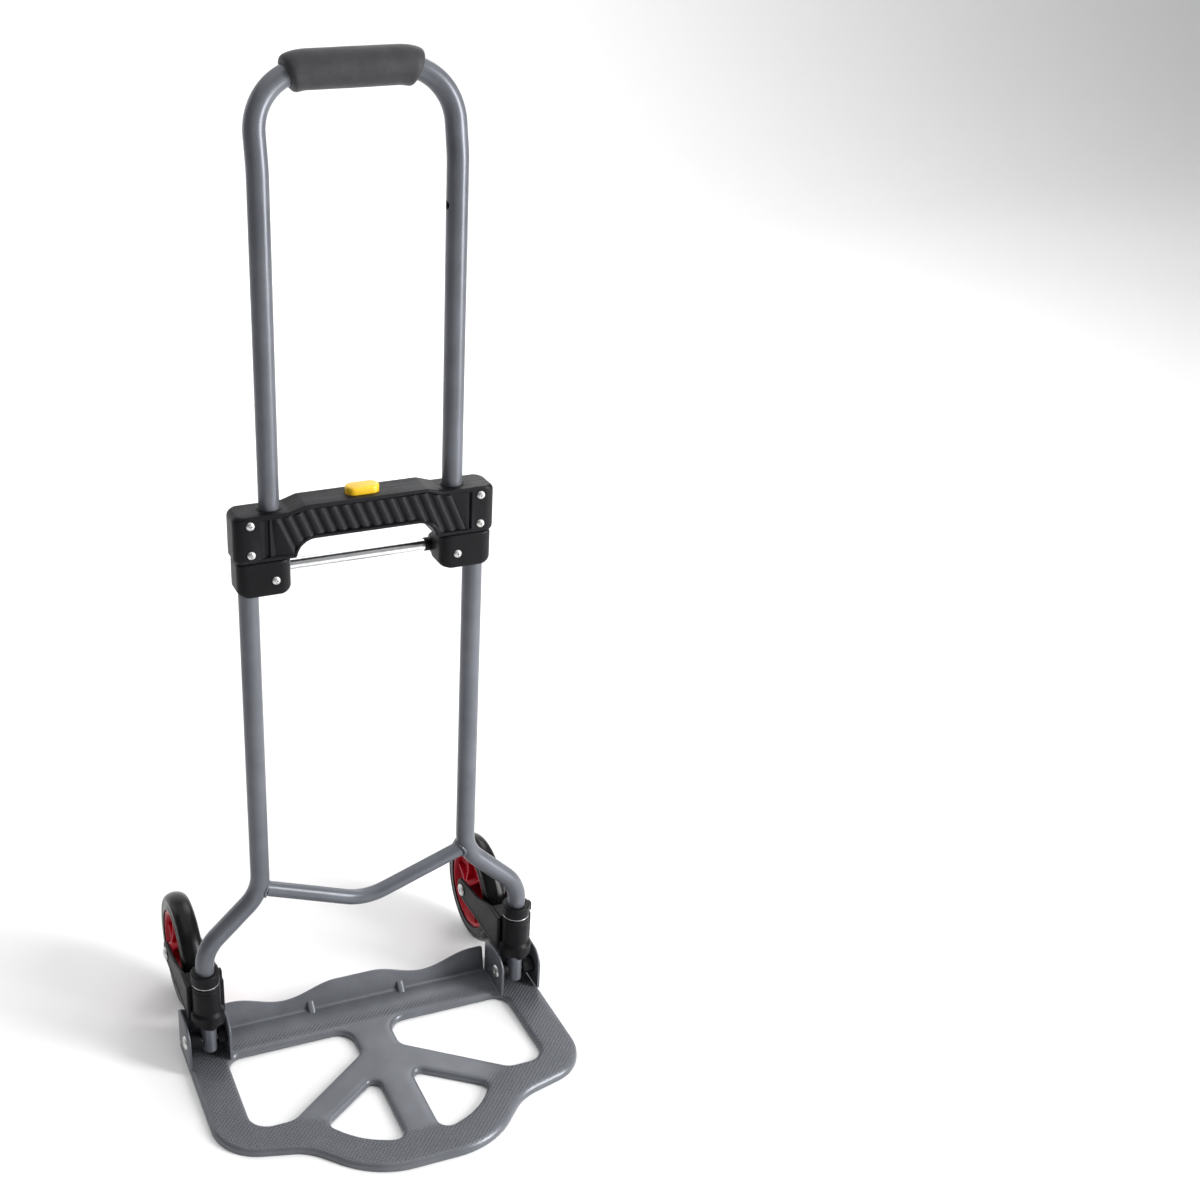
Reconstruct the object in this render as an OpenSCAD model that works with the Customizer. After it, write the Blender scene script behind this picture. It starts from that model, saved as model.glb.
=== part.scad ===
// Folding two-wheel hand truck: telescoping handle, fold-up toe plate,
// wheels that swing in flat when the plate folds.
// Millimetres. +X right, -Y front (toe plate), +Z up. The origin is on the floor,
// under the middle of the standing truck.

/* [Handle] */
// Height of the grip's centre above the floor
grip_h = 975; // [965:1:985]
// Outer diameter of the handle and frame tubes
tube_d = 19; // [18.6:0.1:19.2]
// Wall thickness of the tubes
tube_wall = 1.4; // [1:0.1:2]
// Distance of each handle tube from the middle
handle_x = 87.5; // [87:0.5:88]
// Height at which the handle bends back
kink_h = 901; // [890:1:905]
// Angle by which the top of the handle leans back
kink_angle = 12; // [5:1:15]
// Bend radius of the handle's upper corners
handle_bend_r = 48; // [40:1:52]
// Length of the foam grip
grip_len = 114; // [100:1:120]
// Diameter of the foam grip
grip_d = 32.5; // [28:0.5:36]

/* [Lower frame] */
// Distance of each side tube from the middle, above its bends
side_x = 109.5; // [109:0.5:110]
// Distance of each side tube from the middle, at the wheels
foot_x = 170.5; // [170:0.5:171]
// Height of the side tube's upper bend
bend_top_h = 199; // [195:1:205]
// Height of the side tube's lower bend
bend_low_h = 141; // [139:1:143]
// Bend radius of the side tubes
side_bend_r = 45; // [35:1:50]
// Diameter of the cross tube
cross_d = 15.5; // [12:0.5:16]
// Height of the cross tube's middle bend
cross_mid_h = 163; // [160:1:170]

/* [Crossbar] */
// Width of the crossbar
bar_w = 249; // [246:1:252]
// Depth of the crossbar and the slider blocks
bar_depth = 34; // [33:1:36]
// Height of the crossbar's underside
bar_low = 561.8; // [561:0.1:563]
// Height of the crossbar's ends
bar_end_top = 606.5; // [605:0.5:608]
// Height of the crossbar's raised middle
bar_mid_top = 611; // [610:0.5:613]
// Height of the arch under the crossbar
arch_top = 578; // [576:0.5:579]
// Height of the lock pins
pin_h = 593; // [592:0.5:594]
// Height of the lock hole that holds the collapsed handle
lock_hole_h = 861; // [855:1:865]

/* [Toe plate] */
// Width of the toe plate
plate_w = 390; // [389:1:391]
// Reach of the toe plate in front of the tubes
plate_reach = 209.5; // [205:0.5:212]
// Height of the toe plate's top face
plate_h = 8.5; // [8:0.5:9]
// Thickness of the pressed sheet
sheet = 2; // [1.5:0.1:2.2]
// Height of the fold pivot
pivot_h = 30.5; // [30:0.5:31]
// Height of the back flange's crests
flange_h = 36; // [32:1:38]

/* [Wheels] */
// Wheel diameter
wheel_d = 125; // [122:1:126]
// Width of the tyre
tyre_w = 24; // [20:1:25]
// Distance of the axle behind the tubes
axle_back = 104; // [103:1:106]
// Height of the axle
axle_h = 66.5; // [65.5:0.5:68]

/* [Hidden] */
$fn = 64;
tube_r = tube_d / 2;
bore_d = tube_d - 2 * tube_wall;
run_gap = 0.1;                  // radial running clearance of sliding and turning fits
snug = 0.02;                    // radial clearance of fixed fits
face_gap = 0.3;                 // gap between faces of different bodies
bead_up = 0.16;                 // how much a tube joint bead adds to the diameter
wheel_r = wheel_d / 2;
rim_r = 45;                     // where the tyre sits on the hub
tube_y = (plate_reach - axle_back - wheel_r) / 2;   // puts the box's middle at y = 0
cos_k = cos(kink_angle);
grip_run = (grip_h - kink_h) / cos_k;               // along the leaning part
kink_r = 60;                    // bend radius of the handle's lean
cross_r = 60;                   // bend radius of the cross tube's middle
half_depth = bar_depth / 2;
screw_d = 4;
screw_head_d = 8.2;
screw_head_h = 2.4;
bar_screw_h = [570.5, 598.5];
pin_d = 7;
pin_tip_x = handle_x - tube_r - 0.4;
pin_tail_x = 30;
button_len = 32;
button_w = 16.5;
button_top = bar_mid_top + 7.5;
bar_round = 9;                  // plan radius of the crossbar's and slider blocks' ends
bush_r = 11.5;
bush_depth = 8;                 // how far a guide bush sits below the crossbar's ends
bush_lip = 0.7;
cavity_floor = 582.5;
cavity_half = 20;
cavity_depth = 19;
block_in = 71.7;
block_out = 122.4;
block_low = 528.5;
block_top = bar_low - 0.4;
block_screw_h = 543;
tube_seat = block_low + 5;      // where the handle tube ends inside its block
rod_d = 11;
sleeve_r = 7.2;                 // the sleeve that holds each end of the rod
rod_back = 16;
rod_h = 542;
rod_seat = 6.9;                 // how far the rod goes into each sleeve
sleeve_len = 12;
boss_r = 10.5;
boss_in = 66.5;                 // inner end of each sleeve
boss_end = boss_in + 38;        // outer end of each boss's straight part
side_top = 602;
side_foot = 19.5;
barrel_r = 14.6;
barrel_low = 52.6;
barrel_top = 102.2;
skirt_r = 17.4;
skirt_top = 67;
cap_top = 116;
fork_half = 19.5;
fork_t = 4;
fork_low = 56;
web_back = 30;
axle_d = 8;
rivet_d = 14;
rivet_h = 2.5;
rivet_dome = 11.2;              // radius of the rivet heads' dome
pivot_d = 8;
spacer_d = 17;
ear_t = 2.5;
ear_in = 150;
ear_out = plate_w / 2 - ear_t;
ear_top = 54;
ear_front = -16;
ear_back = 35.7;
ear_back_top = 44;
plate_back = 36;
flange_lean = 12;
steel_grey = [0.42, 0.43, 0.46];
plastic_black = [0.09, 0.09, 0.1];
zinc = [0.75, 0.76, 0.78];

// ---- helpers -------------------------------------------------------------
function unit(v) = v / norm(v);
function turn(a, b) = atan2(a.x * b.y - a.y * b.x, a * b);
function left_of(a) = [-a.y, a.x];
function setback(a, b, r) = r * tan(abs(turn(a, b)) / 2);

// A straight tube between two points of the XY plane
module straight_tube(from, to, od, id) {
    run = to - from;
    translate(from) rotate([0, 0, atan2(run.y, run.x)]) rotate([0, 90, 0])
        difference() {
            cylinder(d = od, h = norm(run));
            translate([0, 0, -1]) cylinder(d = id, h = norm(run) + 2);
        }
}

// The bend of a tube at a corner, from direction a to direction b
module elbow(corner, a, b, r, od, id) {
    angle = turn(a, b);
    start = corner - a * setback(a, b, r);
    centre = start + r * sign(angle) * left_of(a);
    first = atan2(start.y - centre.y, start.x - centre.x);
    translate(centre) rotate([0, 0, angle > 0 ? first : first + angle])
        rotate_extrude(angle = abs(angle)) translate([r, 0]) difference() {
            circle(d = od);
            circle(d = id);
        }
}

// The bead where a straight stretch meets a bend: a hair thicker than the wall
module bead(at, dir, od, id) {
    straight_tube(at - 0.5 * dir, at + 0.5 * dir, od + bead_up, id - bead_up);
}

// A bend with a bead at each end
module beaded_elbow(corner, a, b, r, od, id) {
    back = setback(a, b, r);
    elbow(corner, a, b, r, od, id);
    bead(corner - a * back, a, od, id);
    bead(corner + b * back, b, od, id);
}

// A tube bent along a path of the XY plane, all bends of one radius
module bent_tube(path, r, od, id) {
    last = len(path) - 1;
    dirs = [for (i = [0 : last - 1]) unit(path[i + 1] - path[i])];
    backs = [for (i = [0 : last])
        i == 0 || i == last ? 0 : setback(dirs[i - 1], dirs[i], r)];
    for (i = [0 : last - 1])
        straight_tube(path[i] + dirs[i] * backs[i], path[i + 1] - dirs[i] * backs[i + 1], od, id);
    for (i = [1 : last - 1])
        beaded_elbow(path[i], dirs[i - 1], dirs[i], r, od, id);
}

// Stands an XY shape up in the plane of the tubes
module upright() { translate([0, tube_y, 0]) rotate([90, 0, 0]) children(); }

// Lays an XY shape (x = rearwards, y = up) in the plane X = x, centred on its thickness
module side_on(x, thick) {
    translate([x - thick / 2, tube_y, 0]) rotate([90, 0, 90]) linear_extrude(thick) children();
}

// Mirrors a right-hand piece to the left
module left_hand() { mirror([1, 0, 0]) children(); }

// Points of one rounded corner, clockwise outline, moved inwards by inset
function corner_points(prev, at, next, inset) =
    let (a = unit([at.x - prev.x, at.y - prev.y]), b = unit([next.x - at.x, next.y - at.y]),
         na = -left_of(a), nb = -left_of(b), angle = turn(a, b),
         p = [at.x, at.y] + inset * (na + nb) / (1 + na * nb),
         r = max(at.z + (angle < 0 ? -inset : inset), 0.5),
         start = p - a * setback(a, b, r),
         centre = start + r * sign(angle) * left_of(a),
         first = atan2(start.y - centre.y, start.x - centre.x),
         steps = max(2, ceil(abs(angle) / 7)))
    [for (k = [0 : steps]) centre + r * [cos(first + angle * k / steps), sin(first + angle * k / steps)]];

// Outline through corners [x, y, radius], given clockwise
function rounded(corners, inset = 0) =
    let (n = len(corners))
    [for (i = [0 : n - 1])
        each corner_points(corners[(i + n - 1) % n], corners[i], corners[(i + 1) % n], inset)];

// The corners of a half outline and of its mirror image
function both_halves(half) =
    concat(half, [for (i = [len(half) - 1 : -1 : 0]) [-half[i].x, half[i].y, half[i].z]]);

// ---- lower frame ---------------------------------------------------------
module side_tube() {
    color(steel_grey) difference() {
        upright() bent_tube([[side_x, side_top], [side_x, bend_top_h], [foot_x, bend_low_h],
            [foot_x, side_foot]], side_bend_r, tube_d, bore_d);
        for (h = bar_screw_h) screw_hole(side_x, h);
        translate([foot_x - tube_d, tube_y, pivot_h]) rotate([0, 90, 0])
            cylinder(d = pivot_d + 2 * run_gap, h = 2 * tube_d);
    }
}

// Clearance hole of a shell screw through both walls of a tube
module screw_hole(x, h) {
    translate([x, tube_y - tube_d, h]) rotate([-90, 0, 0]) cylinder(d = screw_d + 0.3, h = 2 * tube_d);
}

// The V-shaped cross tube; its ends sink into the side tubes, where they are welded
module cross_tube() {
    reach = side_x - tube_r + 5;
    rise = (bend_top_h + 4 - cross_mid_h) * reach / side_x;
    color(steel_grey) upright()
        bent_tube([[-reach, cross_mid_h + rise], [0, cross_mid_h], [reach, cross_mid_h + rise]],
            cross_r, cross_d, cross_d - 2 * tube_wall);
}

// ---- crossbar ------------------------------------------------------------
bar_half = [
    [72, bar_end_top, 8], [bar_w / 2, bar_end_top, 6], [bar_w / 2, bar_low, 3],
    [67, bar_low, 2], [63, arch_top, 18]];

module bar_outline() {
    polygon(rounded(concat([[-58, bar_mid_top, 8], [58, bar_mid_top, 8]], both_halves(bar_half))));
}

module rounded_box_plan(x0, x1, depth, r) {
    polygon(rounded([[x0, depth / 2, r], [x1, depth / 2, r], [x1, -depth / 2, r], [x0, -depth / 2, r]]));
}

// The whole crossbar with its bores and cavities, before it is split
module crossbar_body() {
    difference() {
        intersection() {
            upright() translate([0, 0, -half_depth]) linear_extrude(bar_depth) bar_outline();
            translate([0, tube_y, bar_low - 1]) linear_extrude(60)
                rounded_box_plan(-bar_w / 2, bar_w / 2, bar_depth, bar_round);
        }
        for (s = [-1, 1]) {
            translate([s * side_x, tube_y, bar_low - 1])
                cylinder(r = tube_r + snug, h = side_top - bar_low + 1.2);
            translate([s * handle_x, tube_y, bar_low - 1]) cylinder(r = tube_r + 0.4, h = 60);
            translate([s * handle_x, tube_y, bar_end_top - bush_depth]) cylinder(r = bush_r + snug, h = 30);
            translate([s * (pin_tip_x + 6), tube_y, pin_h]) rotate([0, -s * 90, 0])
                cylinder(d = pin_d + 2 * run_gap, h = 60);
            translate([s * 62, tube_y, pin_h]) rotate([0, -s * 90, 0]) cylinder(d = 11.4, h = 50);
            for (h = bar_screw_h) {
                translate([s * side_x, tube_y - half_depth - 1, h]) rotate([-90, 0, 0])
                    cylinder(d = screw_d + 0.1, h = bar_depth - 3);
            }
        }
        translate([-cavity_half, tube_y - cavity_depth / 2, cavity_floor])
            cube([2 * cavity_half, cavity_depth, bar_mid_top - cavity_floor - 5]);
        translate([0, tube_y, cavity_floor + 5]) linear_extrude(60)
            rounded_box_plan(-button_len / 2 - 0.3, button_len / 2 + 0.3, button_w + 0.6, button_w / 2);
    }
}

// Keeps what lies in front of (-1) or behind (1) the split plane
module split_half(s, low, high) {
    intersection() {
        children();
        translate([-150, s < 0 ? tube_y - 60 : tube_y, low]) cube([300, 60, high - low]);
    }
}

module crossbar_front() { color(plastic_black) split_half(-1, bar_low - 1, bar_mid_top + 1) crossbar_body(); }
module crossbar_rear() { color(plastic_black) split_half(1, bar_low - 1, bar_mid_top + 1) crossbar_body(); }

// A pan-head screw driven from the front face
module shell_screw(x, h) {
    translate([x, tube_y - half_depth - 0.02, h]) rotate([-90, 0, 0]) {
        cylinder(d = screw_d, h = bar_depth - 5);
        intersection() {
            translate([0, 0, -screw_head_h]) cylinder(d = screw_head_d, h = screw_head_h);
            translate([0, 0, 5.3 - screw_head_h]) sphere(r = 5.3);
        }
    }
}

module crossbar_screws() {
    color(zinc) for (s = [-1, 1], h = bar_screw_h) shell_screw(s * side_x, h);
}

module guide_bush() {
    color(plastic_black) translate([handle_x, tube_y, bar_end_top - bush_depth]) difference() {
        cylinder(r = bush_r, h = bush_depth + bush_lip);
        translate([0, 0, -1]) cylinder(r = tube_r + run_gap, h = 20);
    }
}

// A spring drawn as its separate turns, along +Z
module spring_turns(r, wire, length, turns) {
    for (k = [0 : turns - 1])
        translate([0, 0, wire / 2 + k * (length - wire) / (turns - 1)])
            rotate_extrude() translate([r - wire / 2, 0]) circle(d = wire, $fn = 16);
}

module button_spring() {
    color(zinc) translate([0, tube_y, cavity_floor]) spring_turns(5, 1, 10, 5);
}

module pin_spring() {
    color(zinc) translate([pin_tail_x + 2.5, tube_y, pin_h]) rotate([0, 90, 0])
        spring_turns(5.2, 0.8, 12, 6);
}

module collar_cap() {
    color(plastic_black) translate([foot_x, tube_y, barrel_top + face_gap]) difference() {
        cylinder(r = barrel_r, h = cap_top - barrel_top - face_gap);
        translate([0, 0, -1]) cylinder(r = tube_r + snug, h = 30);
    }
}

// ---- handle --------------------------------------------------------------
module handle_tube() {
    lean = [sin(kink_angle), cos_k];
    back = setback([0, 1], lean, kink_r);
    color(steel_grey) difference() {
        union() {
            translate([0, tube_y, kink_h]) rotate([-kink_angle, 0, 0]) rotate([90, 0, 0])
                bent_tube([[-handle_x, back], [-handle_x, grip_run], [handle_x, grip_run],
                    [handle_x, back]], handle_bend_r, tube_d, bore_d);
            for (s = [-1, 1]) translate([s * handle_x, tube_y, 0]) rotate([90, 0, 90]) {
                beaded_elbow([0, kink_h], [0, 1], lean, kink_r, tube_d, bore_d);
                straight_tube([0, tube_seat], [0, kink_h - back], tube_d, bore_d);
            }
        }
        for (s = [-1, 1]) {
            screw_hole(s * handle_x, block_screw_h);
            for (h = [pin_h, lock_hole_h])
                translate([s * handle_x, tube_y, h]) rotate([0, -s * 90, 0])
                    cylinder(d = pin_d + 0.6, h = tube_d);
        }
    }
}

module foam_grip() {
    flat = handle_x - handle_bend_r;
    sweep = asin((grip_len / 2 - flat) / handle_bend_r);
    color([0.2, 0.2, 0.21])
        translate([0, tube_y, kink_h]) rotate([-kink_angle, 0, 0]) rotate([90, 0, 0]) {
            straight_tube([-flat, grip_run], [flat, grip_run], grip_d, tube_d + 2 * snug);
            for (s = [-1, 1]) {
                translate([s * flat, grip_run - handle_bend_r, 0])
                    rotate([0, 0, s > 0 ? 90 - sweep : 90]) rotate_extrude(angle = sweep)
                        translate([handle_bend_r, 0]) difference() {
                            circle(d = grip_d);
                            circle(d = tube_d + 2 * snug);
                        }
                bead([s * flat, grip_run], [1, 0], grip_d, tube_d + bead_up + 6 * snug);
            }
        }
}

// The right slider block with its rod boss, before it is split
module slider_body() {
    difference() {
        union() {
            translate([0, tube_y, block_low]) linear_extrude(block_top - block_low)
                rounded_box_plan(block_in, block_out, bar_depth, bar_round);
            translate([boss_in, tube_y + rod_back, rod_h]) rotate([0, 90, 0])
                cylinder(r = sleeve_r, h = sleeve_len);
            translate([block_in + 1, tube_y + rod_back, rod_h]) rotate([0, 90, 0])
                cylinder(r = boss_r, h = boss_end - block_in - 1);
            translate([boss_end, tube_y + rod_back, rod_h]) sphere(r = boss_r);
        }
        translate([side_x, tube_y, block_low - 1]) cylinder(r = tube_r + run_gap, h = 60);
        translate([handle_x, tube_y, tube_seat]) cylinder(r = tube_r + snug, h = 60);
        translate([boss_in - 1, tube_y + rod_back, rod_h]) rotate([0, 90, 0])
            cylinder(d = rod_d + 2 * snug, h = rod_seat + 1.1);
        translate([handle_x, tube_y - half_depth - 1, block_screw_h]) rotate([-90, 0, 0])
            cylinder(d = screw_d + 0.1, h = bar_depth - 3);
    }
}

module slider_front() { color(plastic_black) split_half(-1, block_low - 1, bar_low) slider_body(); }
module slider_rear() { color(plastic_black) split_half(1, block_low - 1, bar_low) slider_body(); }
module slider_screws() { color(zinc) for (s = [-1, 1]) shell_screw(s * handle_x, block_screw_h); }

module tie_rod() {
    color([0.85, 0.86, 0.88]) translate([-boss_in - rod_seat, tube_y + rod_back, rod_h])
        rotate([0, 90, 0]) cylinder(d = rod_d, h = 2 * (boss_in + rod_seat));
}

// ---- lock mechanism --------------------------------------------------------
module release_button() {
    color([0.96, 0.78, 0.08]) translate([0, tube_y, 0]) {
        translate([0, 0, bar_mid_top - 8]) linear_extrude(button_top - bar_mid_top + 8)
            rounded_box_plan(-button_len / 2, button_len / 2, button_w, button_w / 2 - 0.1);
        translate([-18, -9, bar_mid_top - 11.5]) cube([36, 18, 4]);
        translate([0, 0, cavity_floor + 10.1]) cylinder(r = 6, h = bar_mid_top - cavity_floor - 20);
    }
}

module lock_pin() {
    color(zinc) translate([pin_tail_x, tube_y, pin_h]) rotate([0, 90, 0]) {
        cylinder(d = pin_d, h = pin_tip_x - pin_tail_x);
        translate([0, 0, 15]) cylinder(d = 11, h = 3);
    }
}

// ---- toe plate -----------------------------------------------------------
plate_half = [
    [plate_w / 2, plate_back, 6], [plate_w / 2, -137.5, 50],
    [112, -158, 58], [60.5, -plate_reach, 92]];
rear_cutout = [
    [21.5, -8.8, 18.5], [155.5, -8.8, 15.5], [156.5, -116.5, 20],
    [115.3, -116.5, 21], [21.5, -47.3, 13.5]];
front_cutout = [[18, -84.3, 8], [86.8, -132.6, 9], [62.4, -162.8, 88], [18, -178.2, 11]];

module cutouts(inset = 0) {
    for (s = [0, 1]) mirror([s, 0]) {
        polygon(rounded(rear_cutout, inset));
        polygon(rounded(front_cutout, inset));
    }
}

// Height of the wavy flange at x: crests in the middle and at the ends, a dip between
function flange_wave(x) =
    let (crest = 20, span = 117, t = min(max(abs(x) - crest, 0), span) / span)
    flange_h - plate_h - 6 * (1 - cos(360 * t));

module toe_plate() {
    outline = both_halves(plate_half);
    color(steel_grey) translate([0, tube_y, 0]) {
        difference() {
            linear_extrude(plate_h) polygon(rounded(outline));
            translate([0, 0, -1]) linear_extrude(plate_h - sheet + 1) difference() {
                polygon(rounded(outline, sheet));
                cutouts(-sheet);
            }
            translate([0, 0, -1]) linear_extrude(plate_h + 2) cutouts();
        }
        translate([0, plate_back - 3, plate_h - 0.4]) rotate([-flange_lean, 0, 0])
            rotate([90, 0, 0]) translate([0, 0, -sheet]) linear_extrude(sheet)
                polygon(concat([[148, 0], [-148, 0]],
                    [for (x = [-148 : 4 : 148]) [x, flange_wave(x)]]));
        for (s = [-1, 1]) translate([s * 51 - 4, plate_back, plate_h - 0.2]) rotate([90, 0, 90])
            linear_extrude(8) polygon([[-10, 0], [0, 0], [0, 10], [-2, 10]]);
    }
}

// Side view of an ear wall: x rearwards from the tubes, y up
module ear_outline() {
    polygon(rounded([[ear_front, ear_top, 18], [ear_back - 10, ear_top, 12],
        [ear_back, ear_back_top, 4], [ear_back, plate_h + snug, 1], [ear_front, plate_h + snug, 1]]));
}

module ear_bracket() {
    color(steel_grey) difference() {
        union() {
            side_on(ear_out + ear_t / 2, ear_t) ear_outline();
            side_on(ear_in + ear_t / 2, ear_t) ear_outline();
            translate([ear_in, tube_y + ear_back - ear_t, plate_h + snug])
                cube([ear_out + ear_t - ear_in, ear_t, 30]);
        }
        translate([ear_in - 1, tube_y, pivot_h]) rotate([0, 90, 0])
            cylinder(d = pivot_d + 2 * snug, h = 60);
    }
}

module pivot_bolt() {
    color(zinc) translate([ear_in, tube_y, pivot_h]) rotate([0, 90, 0]) {
        cylinder(d = pivot_d, h = ear_out + ear_t - ear_in);
        translate([0, 0, -rivet_h]) rivet_head();
        translate([0, 0, ear_out + ear_t - ear_in + rivet_h]) mirror([0, 0, 1]) rivet_head();
    }
}

// A domed head with a punched dimple, outer face at z = 0
module rivet_head() {
    difference() {
        intersection() {
            cylinder(d = rivet_d, h = rivet_h);
            translate([0, 0, rivet_dome]) sphere(r = rivet_dome);
        }
        translate([0, 0, -1]) cylinder(d = 4.5, h = 2.4);
    }
}

module pivot_spacers() {
    color(plastic_black) for (s = [-1, 1]) mirror([s < 0 ? 1 : 0, 0, 0]) {
        spacer(ear_in + ear_t + snug, foot_x - tube_r - face_gap);
        spacer(foot_x + tube_r + face_gap, ear_out - snug);
    }
}

module spacer(x0, x1) {
    translate([x0, tube_y, pivot_h]) rotate([0, 90, 0]) difference() {
        cylinder(d = spacer_d, h = x1 - x0);
        translate([0, 0, -1]) cylinder(d = pivot_d + 2 * snug, h = x1 - x0 + 2);
    }
}

// ---- wheels --------------------------------------------------------------
module wheel_bracket() {
    color(plastic_black) difference() {
        union() {
            translate([foot_x, tube_y, barrel_low]) cylinder(r = barrel_r, h = barrel_top - barrel_low);
            translate([foot_x, tube_y, barrel_low]) cylinder(r = skirt_r, h = skirt_top - barrel_low);
            translate([foot_x - fork_half, tube_y + 2, fork_low])
                cube([2 * fork_half, web_back - 2, 96 - fork_low]);
            for (s = [-1, 1]) side_on(foot_x + s * (fork_half - fork_t / 2), fork_t) {
                polygon([[4, fork_low], [60, fork_low + 0.5], [axle_back - 2, axle_h - 11.4],
                    [axle_back + 3, axle_h + 11.2], [60, 85], [web_back, 97], [4, 97]]);
                translate([axle_back, axle_h]) circle(r = 11.6);
            }
        }
        translate([foot_x, tube_y, barrel_low - 1]) cylinder(r = tube_r + run_gap, h = 60);
        translate([foot_x - 30, tube_y + axle_back, axle_h]) rotate([0, 90, 0])
            cylinder(d = axle_d + 2 * snug, h = 60);
    }
}

module axle() {
    color(zinc) translate([foot_x - fork_half, tube_y + axle_back, axle_h]) rotate([0, 90, 0]) {
        cylinder(d = axle_d, h = 2 * fork_half);
        translate([0, 0, -rivet_h]) rivet_head();
        translate([0, 0, 2 * fork_half + rivet_h]) mirror([0, 0, 1]) rivet_head();
    }
}

// Turns a half section (x = radius, y = sideways) about the right axle
module about_axle() {
    translate([foot_x, tube_y + axle_back, axle_h]) rotate([0, 90, 0]) rotate_extrude($fn = 96) children();
}

module tyre() {
    shoulder = 7;
    color([0.1, 0.1, 0.11]) about_axle() union() {
        translate([rim_r, -tyre_w / 2 + 1]) square([wheel_r - rim_r - shoulder, tyre_w - 2]);
        translate([wheel_r - shoulder - 1, 0]) intersection() {
            circle(r = shoulder + 1 + 4);
            translate([0, -tyre_w / 2 + 1]) square([shoulder + 1, tyre_w - 2]);
        }
        translate([rim_r + 1, -tyre_w / 2]) square([7, tyre_w]);
    }
}

module hub() {
    hub_r = rim_r - snug;
    color([0.6, 0.02, 0.07]) difference() {
        union() {
            about_axle() union() {
                translate([hub_r - 5, -10]) square([5, 20]);
                translate([8, -2]) square([hub_r - 9, 4]);
                translate([2, -15.2]) square([10, 30.4]);
            }
            for (k = [0 : 5]) translate([foot_x, tube_y + axle_back, axle_h]) rotate([60 * k, 0, 0])
                translate([-7, -1.5, 9]) cube([14, 3, hub_r - 12]);
        }
        translate([foot_x - 30, tube_y + axle_back, axle_h]) rotate([0, 90, 0])
            cylinder(r = axle_d / 2 + 0.05, h = 60);
    }
}

// ---- drawing -------------------------------------------------------------
left_hand() side_tube();  // left_side_tube
side_tube();  // right_side_tube
cross_tube();
crossbar_front();
crossbar_rear();
crossbar_screws();
left_hand() guide_bush();  // left_guide_bush
guide_bush();  // right_guide_bush
button_spring();
left_hand() pin_spring();  // left_pin_spring
pin_spring();  // right_pin_spring
left_hand() collar_cap();  // left_collar_cap
collar_cap();  // right_collar_cap
handle_tube();
foam_grip();
left_hand() slider_front();  // left_slider_front
left_hand() slider_rear();  // left_slider_rear
slider_front();  // right_slider_front
slider_rear();  // right_slider_rear
slider_screws();
tie_rod();
release_button();
left_hand() lock_pin();  // left_lock_pin
lock_pin();  // right_lock_pin
toe_plate();
left_hand() ear_bracket();  // left_ear_bracket
ear_bracket();  // right_ear_bracket
left_hand() pivot_bolt();  // left_pivot_bolt
pivot_bolt();  // right_pivot_bolt
pivot_spacers();
left_hand() wheel_bracket();  // left_wheel_bracket
left_hand() axle();  // left_axle
wheel_bracket();  // right_wheel_bracket
axle();  // right_axle
left_hand() tyre();  // left_tyre
left_hand() hub();  // left_hub
tyre();  // right_tyre
hub();  // right_hub
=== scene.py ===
from math import asin, atan2, ceil, copysign, cos, degrees, exp, pi, radians, sin, sqrt, tan
import bmesh
import bpy
from mathutils import Matrix, Vector, geometry, noise


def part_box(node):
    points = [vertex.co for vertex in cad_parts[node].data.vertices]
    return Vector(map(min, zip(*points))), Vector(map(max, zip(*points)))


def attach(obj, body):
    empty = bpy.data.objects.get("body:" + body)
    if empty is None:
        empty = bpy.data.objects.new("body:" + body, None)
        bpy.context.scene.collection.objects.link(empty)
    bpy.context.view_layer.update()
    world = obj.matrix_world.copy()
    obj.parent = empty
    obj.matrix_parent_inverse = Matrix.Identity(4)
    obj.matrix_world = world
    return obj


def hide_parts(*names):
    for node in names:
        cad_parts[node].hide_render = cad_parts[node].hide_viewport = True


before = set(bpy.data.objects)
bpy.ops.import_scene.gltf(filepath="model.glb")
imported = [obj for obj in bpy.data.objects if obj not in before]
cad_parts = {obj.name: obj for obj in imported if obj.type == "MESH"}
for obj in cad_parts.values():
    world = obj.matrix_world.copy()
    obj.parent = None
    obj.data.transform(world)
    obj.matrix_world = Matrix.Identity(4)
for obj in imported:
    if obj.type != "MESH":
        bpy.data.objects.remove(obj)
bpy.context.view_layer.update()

# The truck is worked out in millimetres and turned into metres at the end. The stage is in metres.
MM = 0.001


def mid(node, axis):
    lo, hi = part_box(node)
    return (lo[axis] + hi[axis]) / 2 / MM


TUBE_Y = mid("right_lock_pin", 1)
TUBE_R = 9.5
BORE_R = 8.1
HANDLE_X = mid("right_guide_bush", 0)
FOOT_X = mid("right_collar_cap", 0)
SIDE_X = 109.5
AXLE_Y = mid("right_axle", 1)
AXLE_Z = mid("right_axle", 2)
PIVOT_Z = mid("right_pivot_bolt", 2)
KINK_Z, LEAN = 901.0, radians(12)
GRIP_RUN = (975.0 - KINK_Z) / cos(LEAN)
KINK_R, HANDLE_R, SIDE_BEND_R = 60.0, 48.0, 45.0
SIDES = (("right", False), ("left", True))   # each side, and whether it is the mirrored one


# ---- mesh helpers ----
def cos_sin(angle):
    """Cosine and sine of an angle in degrees."""
    return cos(radians(angle)), sin(radians(angle))


def turn(a, b):
    return atan2(a.x * b.y - a.y * b.x, a.dot(b))


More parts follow.
